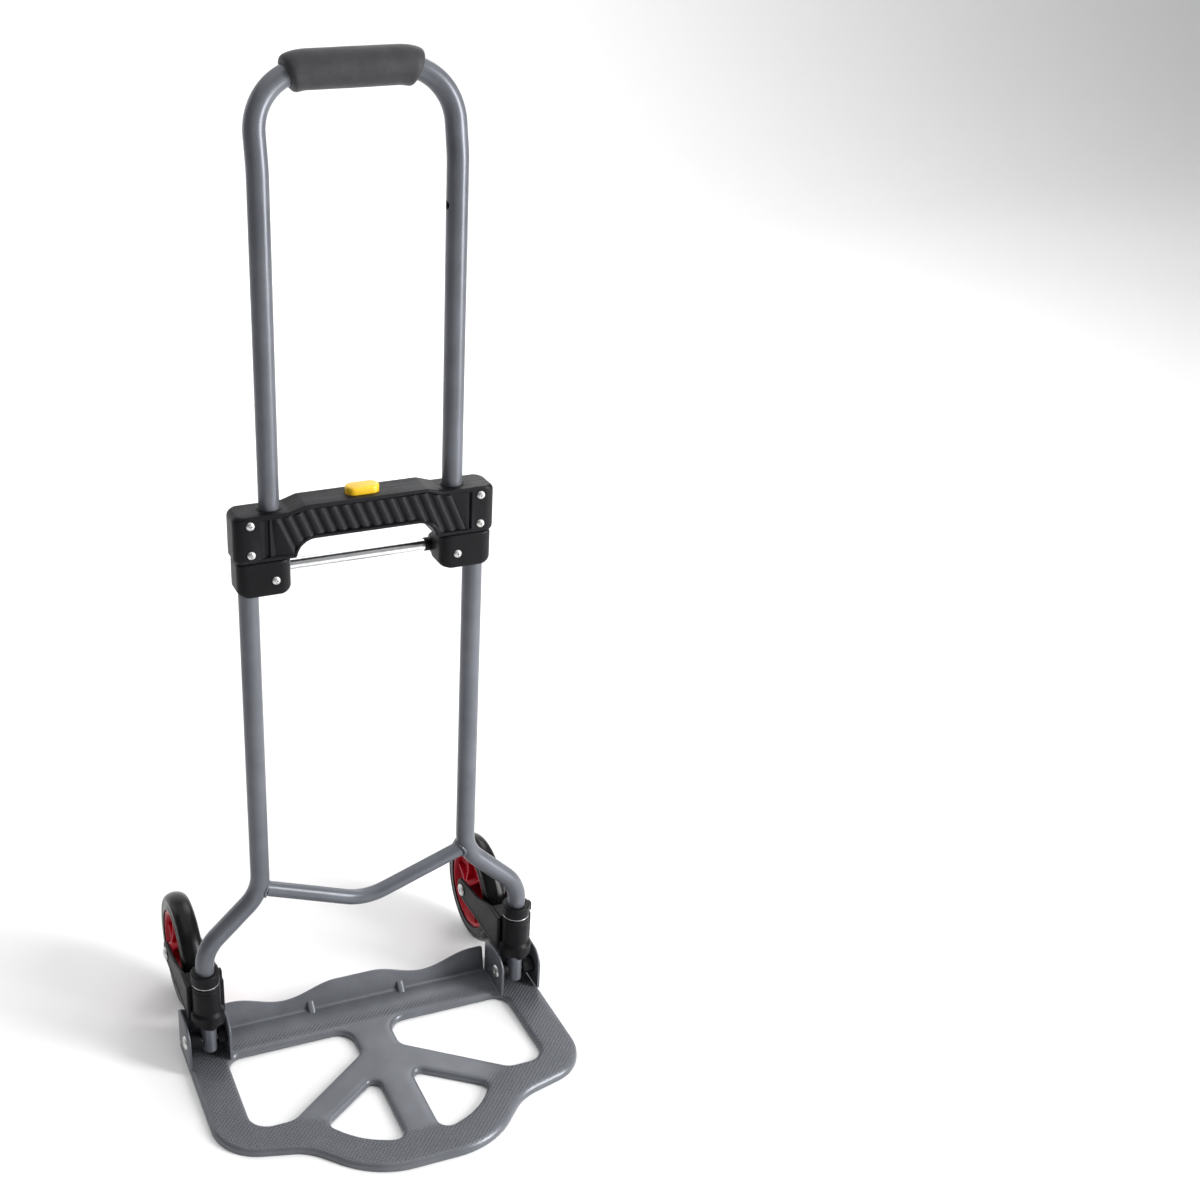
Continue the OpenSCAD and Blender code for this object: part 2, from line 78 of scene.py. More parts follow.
def corner_loop(corners, inset=0.0, step=6.0, smallest=0.3):
    """Closed 2-D loop through corners (x, y, radius), given clockwise, moved inwards by inset."""
    pts, n = [], len(corners)
    for i, (x, y, r) in enumerate(corners):
        at = Vector((x, y))
        prev = Vector(corners[i - 1][:2])
        nxt = Vector(corners[(i + 1) % n][:2])
        a, b = (at - prev).normalized(), (nxt - at).normalized()
        na, nb = Vector((a.y, -a.x)), Vector((b.y, -b.x))
        ang = turn(a, b)
        p = at + inset * (na + nb) / (1 + na.dot(nb))
        rr = max(r + (-inset if ang < 0 else inset), smallest)
        s = copysign(1, ang)
        start = p - a * (rr * tan(abs(ang) / 2))
        centre = start + rr * s * Vector((-a.y, a.x))
        first = atan2(start.y - centre.y, start.x - centre.x)
        k = max(2, ceil(degrees(abs(ang)) / step))
        pts += [centre + rr * Vector((cos(first + ang * j / k), sin(first + ang * j / k)))
                for j in range(k + 1)]
    return pts


def mirrored(corners):
    return [(-x, y, r) for x, y, r in reversed(corners)]


def both_halves(half):
    return half + mirrored(half)


def inside(p, loop):
    hit = False
    n = len(loop)
    for i in range(n):
        a, b = loop[i], loop[(i + 1) % n]
        if (a.y > p.y) != (b.y > p.y) and p.x < (b.x - a.x) * (p.y - a.y) / (b.y - a.y) + a.x:
            hit = not hit
    return hit


def loop_distance(p, loop):
    best = 1e9
    n = len(loop)
    for i in range(n):
        a, b = loop[i], loop[(i + 1) % n]
        d = b - a
        t = max(0.0, min(1.0, (p - a).dot(d) / max(d.length_squared, 1e-12)))
        best = min(best, (p - a - d * t).length_squared)
    return sqrt(best)


def loft(bm, rings, close=False, caps=(True, True)):
    rows = [[bm.verts.new(p) for p in ring] for ring in rings]
    pairs = list(zip(rows, rows[1:])) + ([(rows[-1], rows[0])] if close else [])
    for a, b in pairs:
        n = len(a)
        for i in range(n):
            bm.faces.new((a[i], a[(i + 1) % n], b[(i + 1) % n], b[i]))
    if caps[0] and not close:
        bm.faces.new(rows[0])
    if caps[1] and not close:
        bm.faces.new(rows[-1])
    return rows


def fill(bm, outer, place, holes=(), creases=(), extra=(), lines=()):
    """Triangulates the inside of a loop, without its holes, through crease loops, points and lines."""
    pts, edges = [], []
    for loop in [outer, *holes, *creases]:
        k = len(pts)
        pts += loop
        edges += [(k + i, k + (i + 1) % len(loop)) for i in range(len(loop))]
    for line in lines:
        k = len(pts)
        pts += line
        edges += [(k + i, k + i + 1) for i in range(len(line) - 1)]
    pts += list(extra)
    co, _, faces = geometry.delaunay_2d_cdt(pts, edges, [], 1, 1e-6)[:3]
    keep = []
    for f in faces:
        c = sum((co[i] for i in f), Vector((0, 0))) / len(f)
        if not any(inside(c, h) for h in holes):
            keep.append(f)
    used = sorted({i for f in keep for i in f})
    verts = {i: bm.verts.new(place(co[i])) for i in used}
    for f in keep:
        bm.faces.new([verts[i] for i in f])


def spin(profile, centre, axis="Z", steps=64, close=True, warp=None, caps=(False, False)):
    """Turns a profile of (radius, along) points about an axis through centre."""
    bm = bmesh.new()
    rings = []
    for r, h in profile:
        ring = []
        for k in range(steps):
            a = 2 * pi * k / steps
            rr, hh = (r, h) if warp is None else warp(r, h, a)
            u, v = rr * cos(a), rr * sin(a)
            ring.append(Vector(centre) + Vector({"X": (hh, u, v), "Y": (u, hh, v), "Z": (u, v, hh)}[axis]))
        rings.append(ring)
    loft(bm, rings, close=close, caps=caps)
    return bm


def rod(centre, axis, r, a, b, steps=40):
    """A plain cylinder used only as a cutter."""
    return spin([(r, a), (r, b)], centre, axis, steps, close=False, caps=(True, True))


def arc_path(points, radii, step=4.0):
    """Points and directions along a bent 3-D path, a corner radius for each inner point."""
    pts = [Vector(p) for p in points]
    out = [(pts[0], (pts[1] - pts[0]).normalized())]
    for i in range(1, len(pts) - 1):
        a, b = (pts[i] - pts[i - 1]).normalized(), (pts[i + 1] - pts[i]).normalized()
        ang = a.angle(b)
        r = radii[i - 1]
        start = pts[i] - a * (r * tan(ang / 2))
        n = a.cross(b).normalized()
        centre = start + n.cross(a) * r
        k = max(3, ceil(degrees(ang) / step))
        for j in range(k + 1):
            rot = Matrix.Rotation(ang * j / k, 3, n)
            out.append((centre + rot @ (start - centre), rot @ a))
    out.append((pts[-1], (pts[-1] - pts[-2]).normalized()))
    return out


def path_rings(path, radius, seg=48, first=Vector((0, 1, 0))):
    """Rings round a path. radius(i, angle) or a number gives the section."""
    rings, side = [], None
    for i, (p, t) in enumerate(path):
        side = first if side is None else side
        side = (side - t * side.dot(t)).normalized()
        up = t.cross(side)
        ring = []
        for k in range(seg):
            a = 2 * pi * k / seg
            r = radius(i, a) if callable(radius) else radius
            ring.append(p + side * (r * cos(a)) + up * (r * sin(a)))
        rings.append(ring)
    return rings


def pipe(path, outer, inner, seg=48):
    """A hollow tube with softly broken end edges."""
    bm = bmesh.new()
    o, n = path_rings(path, outer, seg), path_rings(path, inner, seg)
    ends = []
    for (p, t), s, ring in ((path[0], 1, o[0]), (path[-1], -1, o[-1])):
        steps = [(p + t * s * 0.3, outer), (p, outer - 0.3), (p, inner + 0.3), (p + t * s * 0.3, inner)]
        ends.append([[at + (q - p).normalized() * r for q in ring] for at, r in steps])
    first, last = ends
    rings = [first[1], first[0]] + o[1:-1] + [last[0], last[1], last[2], last[3]] \
        + list(reversed(n[1:-1])) + [first[3], first[2]]
    loft(bm, rings, close=True)
    return bm


def shell(corners_at, place, depth, round_r, edge_r, seam=0.15, relief=None):
    """One half of a moulded body. corners_at(pull) gives the outline with its ends pulled in by pull.
    place(x, y, d) puts outline point x, y at depth d below the face. relief fills the face."""
    bm = bmesh.new()

    def pull(d):
        return 0.0 if d >= round_r else round_r - sqrt(round_r ** 2 - (round_r - d) ** 2)

    stops = [(edge_r * (1 - n), edge_r * (1 - c)) for c, n in map(cos_sin, (90, 72, 54, 36, 18, 0))]
    stops += [(d, 0.0) for d in (edge_r + (round_r - edge_r) * k / 5 for k in range(1, 6)) if d > edge_r]
    stops += [(depth - 0.25, 0.0), (depth - 0.05, seam)]
    loops = [corner_loop(corners_at(pull(d)), e) for d, e in stops]
    rings = [[place(p.x, p.y, d) for p in loop] for loop, (d, _) in zip(loops, stops)]
    loft(bm, rings, caps=(False, False))
    if relief:
        relief(bm, loops[0])
    else:
        fill(bm, loops[0], lambda p: place(p.x, p.y, 0.0))
    fill(bm, loops[-1], lambda p: place(p.x, p.y, depth - 0.05))
    return bm


def slab(corners, place, thick, edge_r, recess=0.0, border=3.0):
    """A flat plate with rounded edges on both faces, and a shallow recess in each if wanted."""
    bm = bmesh.new()
    prof = [(border + 0.7, recess), (border, 0.0)] if recess else []
    prof += [(edge_r * (1 - c), edge_r * (1 - n)) for c, n in map(cos_sin, (90, 60, 30, 0))]
    back = [(e, thick - d) for e, d in reversed(prof)]
    loops = [(corner_loop(corners, e), d) for e, d in prof + back]
    loft(bm, [[place(p.x, p.y, d) for p in loop] for loop, d in loops], caps=(False, False))
    for loop, d in (loops[0], loops[-1]):
        fill(bm, loop, lambda p, d=d: place(p.x, p.y, d))
    return bm


def upright(x0):
    """Places a point (back, up) of a slab that stands along the truck, its first face at x0."""
    return lambda y, z, d: Vector((x0 + d, TUBE_Y + y, z))


def add(bm, other):
    """Moves the faces of another bmesh into bm."""
    me = bpy.data.meshes.new("scrap")
    other.to_mesh(me)
    other.free()
    bm.from_mesh(me)
    bpy.data.meshes.remove(me)
    return bm


def ready(bm, mirror=False):
    for v in bm.verts:
        v.co = Vector((-v.co.x if mirror else v.co.x, v.co.y, v.co.z)) * MM
    bmesh.ops.remove_doubles(bm, verts=bm.verts, dist=3e-6)
    bmesh.ops.recalc_face_normals(bm, faces=bm.faces)
    return bm


def cut(ob, cutters, mirror=False):
    for bm in cutters:
        ready(bm, mirror)
        me = bpy.data.meshes.new("cutter")
        bm.to_mesh(me)
        bm.free()
        tool = bpy.data.objects.new("cutter", me)
        bpy.context.scene.collection.objects.link(tool)
        mod = ob.modifiers.new("cut", "BOOLEAN")
        mod.operation, mod.solver, mod.object = "DIFFERENCE", "EXACT", tool
        bpy.context.view_layer.update()
        dg = bpy.context.evaluated_depsgraph_get()
        new = bpy.data.meshes.new_from_object(ob.evaluated_get(dg))
        ob.modifiers.clear()
        ob.data = new
        bpy.data.objects.remove(tool)


def piece(name, bm, material, body, nodes=(), mirror=False, angle=35, cutters=()):
    ready(bm, mirror)
    me = bpy.data.meshes.new(name)
    bm.to_mesh(me)
    bm.free()
    ob = bpy.data.objects.new(name, me)
    bpy.context.scene.collection.objects.link(ob)
    if cutters:
        cut(ob, cutters, mirror)
    me = ob.data
    me.name = name
    me.materials.clear()
    me.materials.append(material)
    for poly in me.polygons:
        poly.use_smooth = True
    me.set_sharp_from_angle(angle=radians(angle))
    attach(ob, body)
    if nodes:
        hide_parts(*nodes)
    return ob


# ---- materials ----
def put(node, **values):
    """Sets a node's sockets. An underscore in a name stands for a space."""
    for key, value in values.items():
        node.inputs[key.replace("_", " ")].default_value = value
    return node


class Mat:
    """A small builder for a node material in object coordinates."""

    def __init__(self, name, color, metallic=0.0, roughness=0.5, **sockets):
        self.m = bpy.data.materials.new(name)
        self.m.use_nodes = True
        self.nt = self.m.node_tree
        self.bsdf = self.nt.nodes["Principled BSDF"]
        self.color = (*color, 1.0)
        put(self.bsdf, Base_Color=self.color, Metallic=metallic, Roughness=roughness, **sockets)
        self.coord = self.add("ShaderNodeTexCoord").outputs["Object"]
        self.last_color = None
        self.last_rough = None
        self.last_bump = None

    def add(self, kind):
        return self.nt.nodes.new(kind)

    def link(self, a, b):
        self.nt.links.new(a, b)

    def stretched(self, scale):
        n = put(self.add("ShaderNodeMapping"), Scale=scale)
        self.link(self.coord, n.inputs["Vector"])
        return n.outputs["Vector"]

    def noise(self, scale, detail, vector=None):
        n = put(self.add("ShaderNodeTexNoise"), Scale=scale, Detail=detail, Roughness=0.55)
        self.link(vector or self.coord, n.inputs["Vector"])
        return n.outputs["Fac"]

    def voronoi(self, scale):
        n = put(self.add("ShaderNodeTexVoronoi"), Scale=scale)
        self.link(self.coord, n.inputs["Vector"])
        return n.outputs["Distance"]

    def remap(self, value, a, b, c=0.0, d=1.0):
        n = put(self.add("ShaderNodeMapRange"), From_Min=a, From_Max=b, To_Min=c, To_Max=d)
        self.link(value, n.inputs["Value"])
        return n.outputs["Result"]

    def math(self, op, a, b):
        n = self.add("ShaderNodeMath")
        n.operation = op
        for i, v in enumerate((a, b)):
            if isinstance(v, (int, float)):
                n.inputs[i].default_value = v
            else:
                self.link(v, n.inputs[i])
        return n.outputs[0]

    def edges(self, a, b):
        n = self.add("ShaderNodeNewGeometry")
        return self.remap(n.outputs["Pointiness"], a, b)

    def attribute(self, name):
        n = self.add("ShaderNodeAttribute")
        n.attribute_name = name
        return n.outputs["Fac"]

    def tint(self, mask, color):
        n = self.add("ShaderNodeMix")
        n.data_type = "RGBA"
        self.link(mask, n.inputs["Factor"])
        if self.last_color is None:
            n.inputs["A"].default_value = self.color
        else:
            self.link(self.last_color, n.inputs["A"])
        n.inputs["B"].default_value = (*color, 1.0)
        self.last_color = n.outputs["Result"]
        self.link(self.last_color, self.bsdf.inputs["Base Color"])
        return self

    def gloss(self, mask, lo, hi):
        """Roughness from lo to hi over a mask, added to what is there."""
        r = self.remap(mask, 0.0, 1.0, lo, hi)
        if self.last_rough is not None:
            r = self.math("ADD", self.last_rough, r)
        self.last_rough = r
        self.link(r, self.bsdf.inputs["Roughness"])
        return self

    def bump(self, height, strength, distance):
        n = put(self.add("ShaderNodeBump"), Strength=strength, Distance=distance)
        self.link(height, n.inputs["Height"])
        if self.last_bump is not None:
            self.link(self.last_bump, n.inputs["Normal"])
        self.last_bump = n.outputs["Normal"]
        self.link(self.last_bump, self.bsdf.inputs["Normal"])
        return self


def paint(name, color, metallic=0.22, slide_marks=False, texture=False):
    k = Mat(name, color, metallic, 0.32, Coat_Weight=0.04, Coat_Roughness=0.2, Specular_IOR_Level=0.22)
    lighter = tuple(c * 1.28 for c in color)
    darker = tuple(c * 0.74 for c in color)
    cloud = k.noise(28, 4)
    k.tint(k.remap(cloud, 0.35, 0.75), lighter)
    flake = k.noise(2600, 1)
    k.tint(k.remap(flake, 0.52, 0.75, 0.0, 0.55), lighter)
    k.tint(k.remap(k.noise(1500, 1), 0.25, 0.42, 0.35, 0.0), darker)
    k.gloss(cloud, 0.26, 0.38)
    k.bump(k.noise(420, 2), 0.22, 0.00006)
    k.bump(flake, 0.1, 0.00003)
    if slide_marks:
        scratch = k.noise(1.0, 2, vector=k.stretched((1500, 1500, 14)))
        k.tint(k.remap(scratch, 0.66, 0.74, 0.0, 0.5), tuple(min(1.0, c * 2.0) for c in color))
        k.gloss(k.remap(scratch, 0.6, 0.72), 0.0, 0.12)
        k.bump(scratch, 0.12, 0.00004)
    if texture:
        hatch = hatching(k)
        zone = k.attribute("grip_zone")
        height = k.math("MULTIPLY", hatch, zone)
        # Painted highlight on the raised crossings of the hatching and painted shade in its sunk valleys;
        # the bump below gives the relief itself.
        k.tint(k.math("MULTIPLY", height, 0.65), lighter)
        k.tint(k.math("MULTIPLY", k.math("SUBTRACT", zone, height), 0.5), darker)
        k.gloss(zone, 0.0, 0.1)
        k.bump(height, 0.9, 0.0008)
        # Painted highlight: sharp edges of the plate are tinted lighter.
        k.tint(k.math("MULTIPLY", k.edges(0.53, 0.6), 0.6), tuple(min(1.0, c * 1.7) for c in color))
    return k.m


def hatching(k):
    """Fine crossed diagonals, like a rolled anti-slip pattern."""
    out = None
    for turn_z in (45, -45):
        mp = put(k.add("ShaderNodeMapping"), Rotation=(0, 0, radians(turn_z)))
        k.link(k.coord, mp.inputs["Vector"])
        w = put(k.add("ShaderNodeTexWave"), Scale=95, Distortion=0.4)
        w.wave_type, w.bands_direction, w.wave_profile = "BANDS", "X", "SIN"
        k.link(mp.outputs["Vector"], w.inputs["Vector"])
        out = w.outputs["Fac"] if out is None else k.math("MULTIPLY", out, w.outputs["Fac"])
    return out


def black_plastic(name, color=(0.0045, 0.0045, 0.0054), grain=0.5, scale=1500):
    k = Mat(name, color, 0.0, 0.46, Specular_IOR_Level=0.13)
    k.tint(k.remap(k.noise(35, 4), 0.35, 0.8, 0.0, 0.8), tuple(c * 1.7 for c in color))
    # Painted highlight: sharp edges are tinted lighter, standing in for the bright lines the light draws
    # along them.
    k.tint(k.math("MULTIPLY", k.edges(0.51, 0.57), 0.6), tuple(c * 7 for c in color))
    speck = k.noise(900, 2)
    k.tint(k.remap(speck, 0.68, 0.75, 0.0, 0.3), (0.03, 0.03, 0.032))
    k.gloss(k.noise(60, 3), 0.32, 0.5)
    k.bump(k.noise(scale, 2), grain, 0.00012)
    k.bump(k.noise(120, 3), 0.12, 0.0002)
    return k.m


def foam():
    k = Mat("foam_rubber", (0.019, 0.019, 0.022), 0.0, 0.8, Sheen_Weight=0.12, Sheen_Roughness=0.4,
            Specular_IOR_Level=0.4)
    k.tint(k.remap(k.noise(55, 5), 0.3, 0.75), (0.032, 0.032, 0.037))
    cells = k.voronoi(820)
    # Painted shade: the pits of the cell bump are tinted darker.
    k.tint(k.remap(cells, 0.0, 0.35, 0.65, 0.0), (0.009, 0.009, 0.011))
    k.tint(k.remap(k.noise(1200, 2), 0.6, 0.72, 0.0, 0.4), (0.055, 0.055, 0.06))
    k.gloss(k.noise(90, 4), 0.5, 0.75)
    k.bump(cells, 0.4, 0.00025)
    k.bump(k.noise(240, 4), 0.35, 0.0005)
    return k.m


def tyre_rubber():
    k = Mat("tyre_rubber", (0.0048, 0.005, 0.0056), 0.0, 0.3, Specular_IOR_Level=0.16)
    k.tint(k.remap(k.noise(45, 4), 0.4, 0.8), (0.009, 0.009, 0.0095))
    k.tint(k.remap(k.noise(700, 3), 0.66, 0.76, 0.0, 0.4), (0.03, 0.029, 0.027))
    k.gloss(k.noise(70, 4), 0.2, 0.36)
    k.bump(k.noise(900, 2), 0.14, 0.0001)
    k.bump(k.noise(90, 3), 0.1, 0.0003)
    return k.m


def red_plastic():
    k = Mat("hub_plastic", (0.5, 0.001, 0.016), 0.0, 0.34, Specular_IOR_Level=0.25)
    k.tint(k.remap(k.noise(30, 3), 0.35, 0.75), (0.36, 0.002, 0.012))
    # Painted highlight: sharp edges are tinted a lighter red.
    k.tint(k.math("MULTIPLY", k.edges(0.52, 0.6), 0.2), (0.6, 0.02, 0.04))
    k.tint(k.remap(k.noise(850, 2), 0.68, 0.75, 0.0, 0.3), (0.55, 0.03, 0.05))
    k.gloss(k.noise(80, 3), 0.26, 0.42)
    k.bump(k.noise(1100, 2), 0.12, 0.0001)
    k.bump(k.noise(70, 2), 0.1, 0.0003)
    return k.m


def yellow_plastic():
    k = Mat("button_plastic", (0.88, 0.56, 0.012), 0.0, 0.36, Coat_Weight=0.2, Coat_Roughness=0.25)
    k.tint(k.remap(k.noise(60, 3), 0.35, 0.75), (0.8, 0.45, 0.008))
    k.tint(k.remap(k.noise(1000, 2), 0.66, 0.75, 0.0, 0.35), (0.95, 0.75, 0.2))
    k.gloss(k.noise(120, 3), 0.3, 0.46)
    k.bump(k.noise(1300, 2), 0.16, 0.0001)
    return k.m


def bare_metal(name, color, lo, hi, grain=0.12, tarnish=(0.42, 0.4, 0.36)):
    k = Mat(name, color, 1.0, (lo + hi) / 2)
    k.tint(k.remap(k.noise(130, 4), 0.45, 0.85, 0.0, 0.5), tarnish)
    k.gloss(k.noise(260, 4), lo, hi)
    lines = k.noise(900, 2)
    k.tint(k.remap(lines, 0.3, 0.45, 0.25, 0.0), tuple(c * 0.6 for c in color))
    k.bump(lines, grain, 0.00004)
    return k.m


M_PAINT = paint("frame_paint", (0.112, 0.118, 0.134), metallic=0.3)
M_SLIDE = paint("handle_paint", (0.112, 0.118, 0.134), metallic=0.3, slide_marks=True)
M_PLATE = paint("plate_paint", (0.118, 0.124, 0.138), metallic=0.25, texture=True)
M_EAR = paint("ear_paint", (0.108, 0.114, 0.128), metallic=0.3)
M_BLACK = black_plastic("black_plastic")
M_RIBBED = black_plastic("black_plastic_grained", (0.005, 0.005, 0.006), 0.85, 1100)
M_FOAM = foam()
M_TYRE = tyre_rubber()
M_RED = red_plastic()
M_YELLOW = yellow_plastic()
M_ZINC = bare_metal("zinc_plate", (0.66, 0.66, 0.65), 0.22, 0.42)
M_CHROME = bare_metal("bright_chrome", (0.8, 0.81, 0.82), 0.14, 0.26, grain=0.02)
M_SPRING = bare_metal("spring_wire", (0.45, 0.45, 0.46), 0.25, 0.45)


# ---- camera, light and floor ----
def make_stage():
    scene = bpy.context.scene
    scene.view_settings.view_transform = "Standard"
    cam = bpy.data.cameras.new("camera")
    cam.lens, cam.sensor_width = 47.94, 36.0
    cam.shift_x = 0.2
    cam.clip_end = 50
    ob = bpy.data.objects.new("camera", cam)
    scene.collection.objects.link(ob)
    (cos_az, sin_az), (cos_el, sin_el) = cos_sin(-18.57), cos_sin(25.72)
    back = Vector((sin_az * cos_el, -cos_az * cos_el, sin_el))
    right = (-back).cross(Vector((0, 0, 1))).normalized()
    up = right.cross(-back)
    aim = Matrix((right, up, back)).transposed()
    nudge = Matrix.Rotation(radians(-0.167), 3, "Y") @ Matrix.Rotation(radians(0.15), 3, "X")
    roll = Matrix.Rotation(radians(-0.543), 3, "Z")
    spot = Matrix.Translation(Vector((-434.4, -1250.0, 1144.7)) * MM)
    ob.matrix_world = spot @ (aim @ nudge @ roll).to_4x4()
    scene.camera = ob

    bm = bmesh.new()
    reach, bend_y, bend_r, wall_top = 40.0, 3.2, 2.2, 9.0   # metres
    prof = [(-reach, 0.0), (bend_y, 0.0)]
    prof += [(bend_y + bend_r * n, bend_r - bend_r * c) for c, n in map(cos_sin, range(6, 91, 6))]
    prof += [(5.4, wall_top)]
    rows = [[bm.verts.new((x, y, z)) for y, z in prof] for x in (-reach, reach)]
    for i in range(len(prof) - 1):
        bm.faces.new((rows[0][i], rows[0][i + 1], rows[1][i + 1], rows[1][i]))
    me = bpy.data.meshes.new("floor")
    bm.to_mesh(me)
    bm.free()
    for poly in me.polygons:
        poly.use_smooth = True
    floor = bpy.data.objects.new("floor", me)
    scene.collection.objects.link(floor)
    fm = Mat("studio_floor", (0.9, 0.9, 0.9), 0.0, 0.8)
    fm.tint(fm.remap(fm.noise(2.5, 3), 0.3, 0.8, 0.0, 0.5), (0.88, 0.88, 0.885))
    me.materials.append(fm.m)

    world = bpy.data.worlds.new("studio")
    world.use_nodes = True
    bg = world.node_tree.nodes["Background"]
    put(bg, Strength=0.5)
    wt = world.node_tree
    coord, split = wt.nodes.new("ShaderNodeTexCoord"), wt.nodes.new("ShaderNodeSeparateXYZ")
    ramp, mix = wt.nodes.new("ShaderNodeMapRange"), wt.nodes.new("ShaderNodeMix")
    mix.data_type = "RGBA"
    put(ramp, From_Min=-0.9, From_Max=0.8)
    put(mix, A=(0.36, 0.36, 0.37, 1), B=(0.9, 0.9, 0.9, 1))
    wt.links.new(coord.outputs["Generated"], split.inputs[0])
    wt.links.new(split.outputs[0], ramp.inputs["Value"])
    wt.links.new(ramp.outputs[0], mix.inputs["Factor"])
    wt.links.new(mix.outputs["Result"], bg.inputs["Color"])
    scene.world = world

    def softbox(name, loc, target, size, power, color=(1, 1, 1)):
        loc = Vector(loc)
        light = bpy.data.lights.new(name, "AREA")
        light.shape, light.size, light.size_y = "RECTANGLE", size[0], size[1]
        light.energy, light.color = power, color
        lob = bpy.data.objects.new(name, light)
        scene.collection.objects.link(lob)
        aimed = (Vector(target) - loc).to_track_quat("-Z", "Y").to_matrix().to_4x4()
        lob.matrix_world = Matrix.Translation(loc) @ aimed

    softbox("key", (1.9, -1.5, 1.1), (0, 0, 0.45), (0.7, 1.9), 92)
    softbox("rim", (-1.6, 1.9, 1.4), (0, 0, 0.55), (0.4, 1.6), 7, (0.97, 0.98, 1.0))
    softbox("back", (1.4, 1.9, 2.0), (0, 0, 0.5), (1.0, 1.2), 16)
    softbox("top", (0.3, 0.8, 3.6), (0.3, 0.8, 0), (4.5, 4.5), 80)
    softbox("wash", (0.0, 2.0, 2.6), (0, 5.4, 0.6), (5.0, 1.2), 100)


make_stage()


# ---- frame: tubes ----
def at_tubes(x, z, y=0.0):
    return Vector((x, TUBE_Y + y, z))


SIDE_TOP, BEND_TOP, BEND_FOOT, TUBE_FOOT = 602, 199, 141, 19.5


def side_path():
    return arc_path([at_tubes(SIDE_X, SIDE_TOP), at_tubes(SIDE_X, BEND_TOP), at_tubes(FOOT_X, BEND_FOOT),
                     at_tubes(FOOT_X, TUBE_FOOT)], [SIDE_BEND_R, SIDE_BEND_R])


def flattened(p):
    """Presses the foot of a side tube flat where the pivot bolt goes through."""
    t = max(0.0, min(1.0, (56 - p.z) / 12))
    t = t * t * (3 - 2 * t)
    if t <= 0 or p.x < FOOT_X - 20:
        return p
    dx, dy = p.x - FOOT_X, p.y - TUBE_Y
    return Vector((FOOT_X + dx * (1 - 0.15 * t), TUBE_Y + dy * (1 + 0.11 * t), p.z))


def side_tube():
    path = side_path()
    last, t = path.pop()
    for z in (60, 56, 53, 50, 47, 44):
        path.append((Vector((last.x, last.y, z)), t))
    path.append((last, t))
    bm = pipe(path, TUBE_R, BORE_R)
    for v in bm.verts:
        v.co = flattened(v.co)
    return bm


CROSS_MID, CROSS_R = 163.0, 7.75
CROSS_REACH = SIDE_X - TUBE_R + 4
CROSS_RISE = (BEND_TOP + 4 - CROSS_MID) * CROSS_REACH / SIDE_X


def cross_tube():
    path = arc_path([at_tubes(-CROSS_REACH, CROSS_MID + CROSS_RISE), at_tubes(0, CROSS_MID),
                     at_tubes(CROSS_REACH, CROSS_MID + CROSS_RISE)], [60])
    return pipe(path, CROSS_R, CROSS_R - 1.4, 40)


def weld():
    """A ripple of weld where the right end of the cross tube meets the side tube."""
    spine = [p for p, _ in side_path()]
    dense = []
    for a, b in zip(spine, spine[1:]):
        k = max(1, int((b - a).length / 2))
        dense += [a.lerp(b, j / k) for j in range(k)]
    d = (at_tubes(CROSS_REACH, CROSS_MID + CROSS_RISE) - at_tubes(0, CROSS_MID)).normalized()
    e1 = Vector((0, 1, 0))
    e2 = d.cross(e1)
    mid_p = at_tubes(0, CROSS_MID)
    pts = []
    steps = 72
    for k in range(steps):
        a = 2 * pi * k / steps
        q = mid_p + (e1 * cos(a) + e2 * sin(a)) * CROSS_R
        t = 60.0
        while t < 140 and min((q + d * t - s).length for s in dense) > TUBE_R:
            t += 0.35
        pts.append(q + d * (t - 0.4))
    bm = bmesh.new()
    rings = []
    for k, p in enumerate(pts):
        tangent = (pts[(k + 1) % steps] - pts[k - 1]).normalized()
        n1 = d.cross(tangent).normalized()
        n2 = tangent.cross(n1)
        r = 1.7 + 0.3 * sin(k * pi * 2 / 4)   # four rings to a ripple
        rings.append([p + (n1 * cos(b) + n2 * sin(b)) * r
                      for b in (2 * pi * j / 10 for j in range(10))])
    loft(bm, rings, close=True)
    return bm


for side, mirror in SIDES:
    piece(side + "_side_tube_bent", side_tube(), M_PAINT, "frame",
          [side + "_side_tube"], mirror)
    piece(side + "_cross_weld", weld(), M_PAINT, "frame", [], mirror, 60)
piece("cross_tube_bent", cross_tube(), M_PAINT, "frame", ["cross_tube"])


# ---- crossbar ----
BAR_W, BAR_LOW, BAR_END, BAR_MID, ARCH = 249.0, 561.8, 606.5, 611.0, 578.0
HALF_DEPTH = 17.0
BLOCK_R = 9.0
SCREW_HEIGHTS = (570.5, 598.5)


def bar_corners(pulled):
    w = BAR_W / 2 - pulled
    half = [(72, BAR_END, 8), (w, BAR_END, 6), (w, BAR_LOW, 4), (67, BAR_LOW, 3), (63, ARCH, 18)]
    return [(-58, BAR_MID, 8), (58, BAR_MID, 8)] + both_halves(half)


def front_place(x, z, d):
    return Vector((x, TUBE_Y - HALF_DEPTH + d, z))


def rear_place(x, z, d):
    return Vector((x, TUBE_Y + HALF_DEPTH - d, z))


RIB_PITCH, RIB_LEAN, RIB_DEEP = 10.9, 0.42, 2.2
RIB_PROFILE = ((0.0, RIB_DEEP), (1.2, RIB_DEEP), (3.0, 0.9), (5.6, 0.25), (7.6, 0.4), (9.2, 1.2))
PANEL_END, PANEL_TOP, PANEL_TALL = 101.0, 602, 46


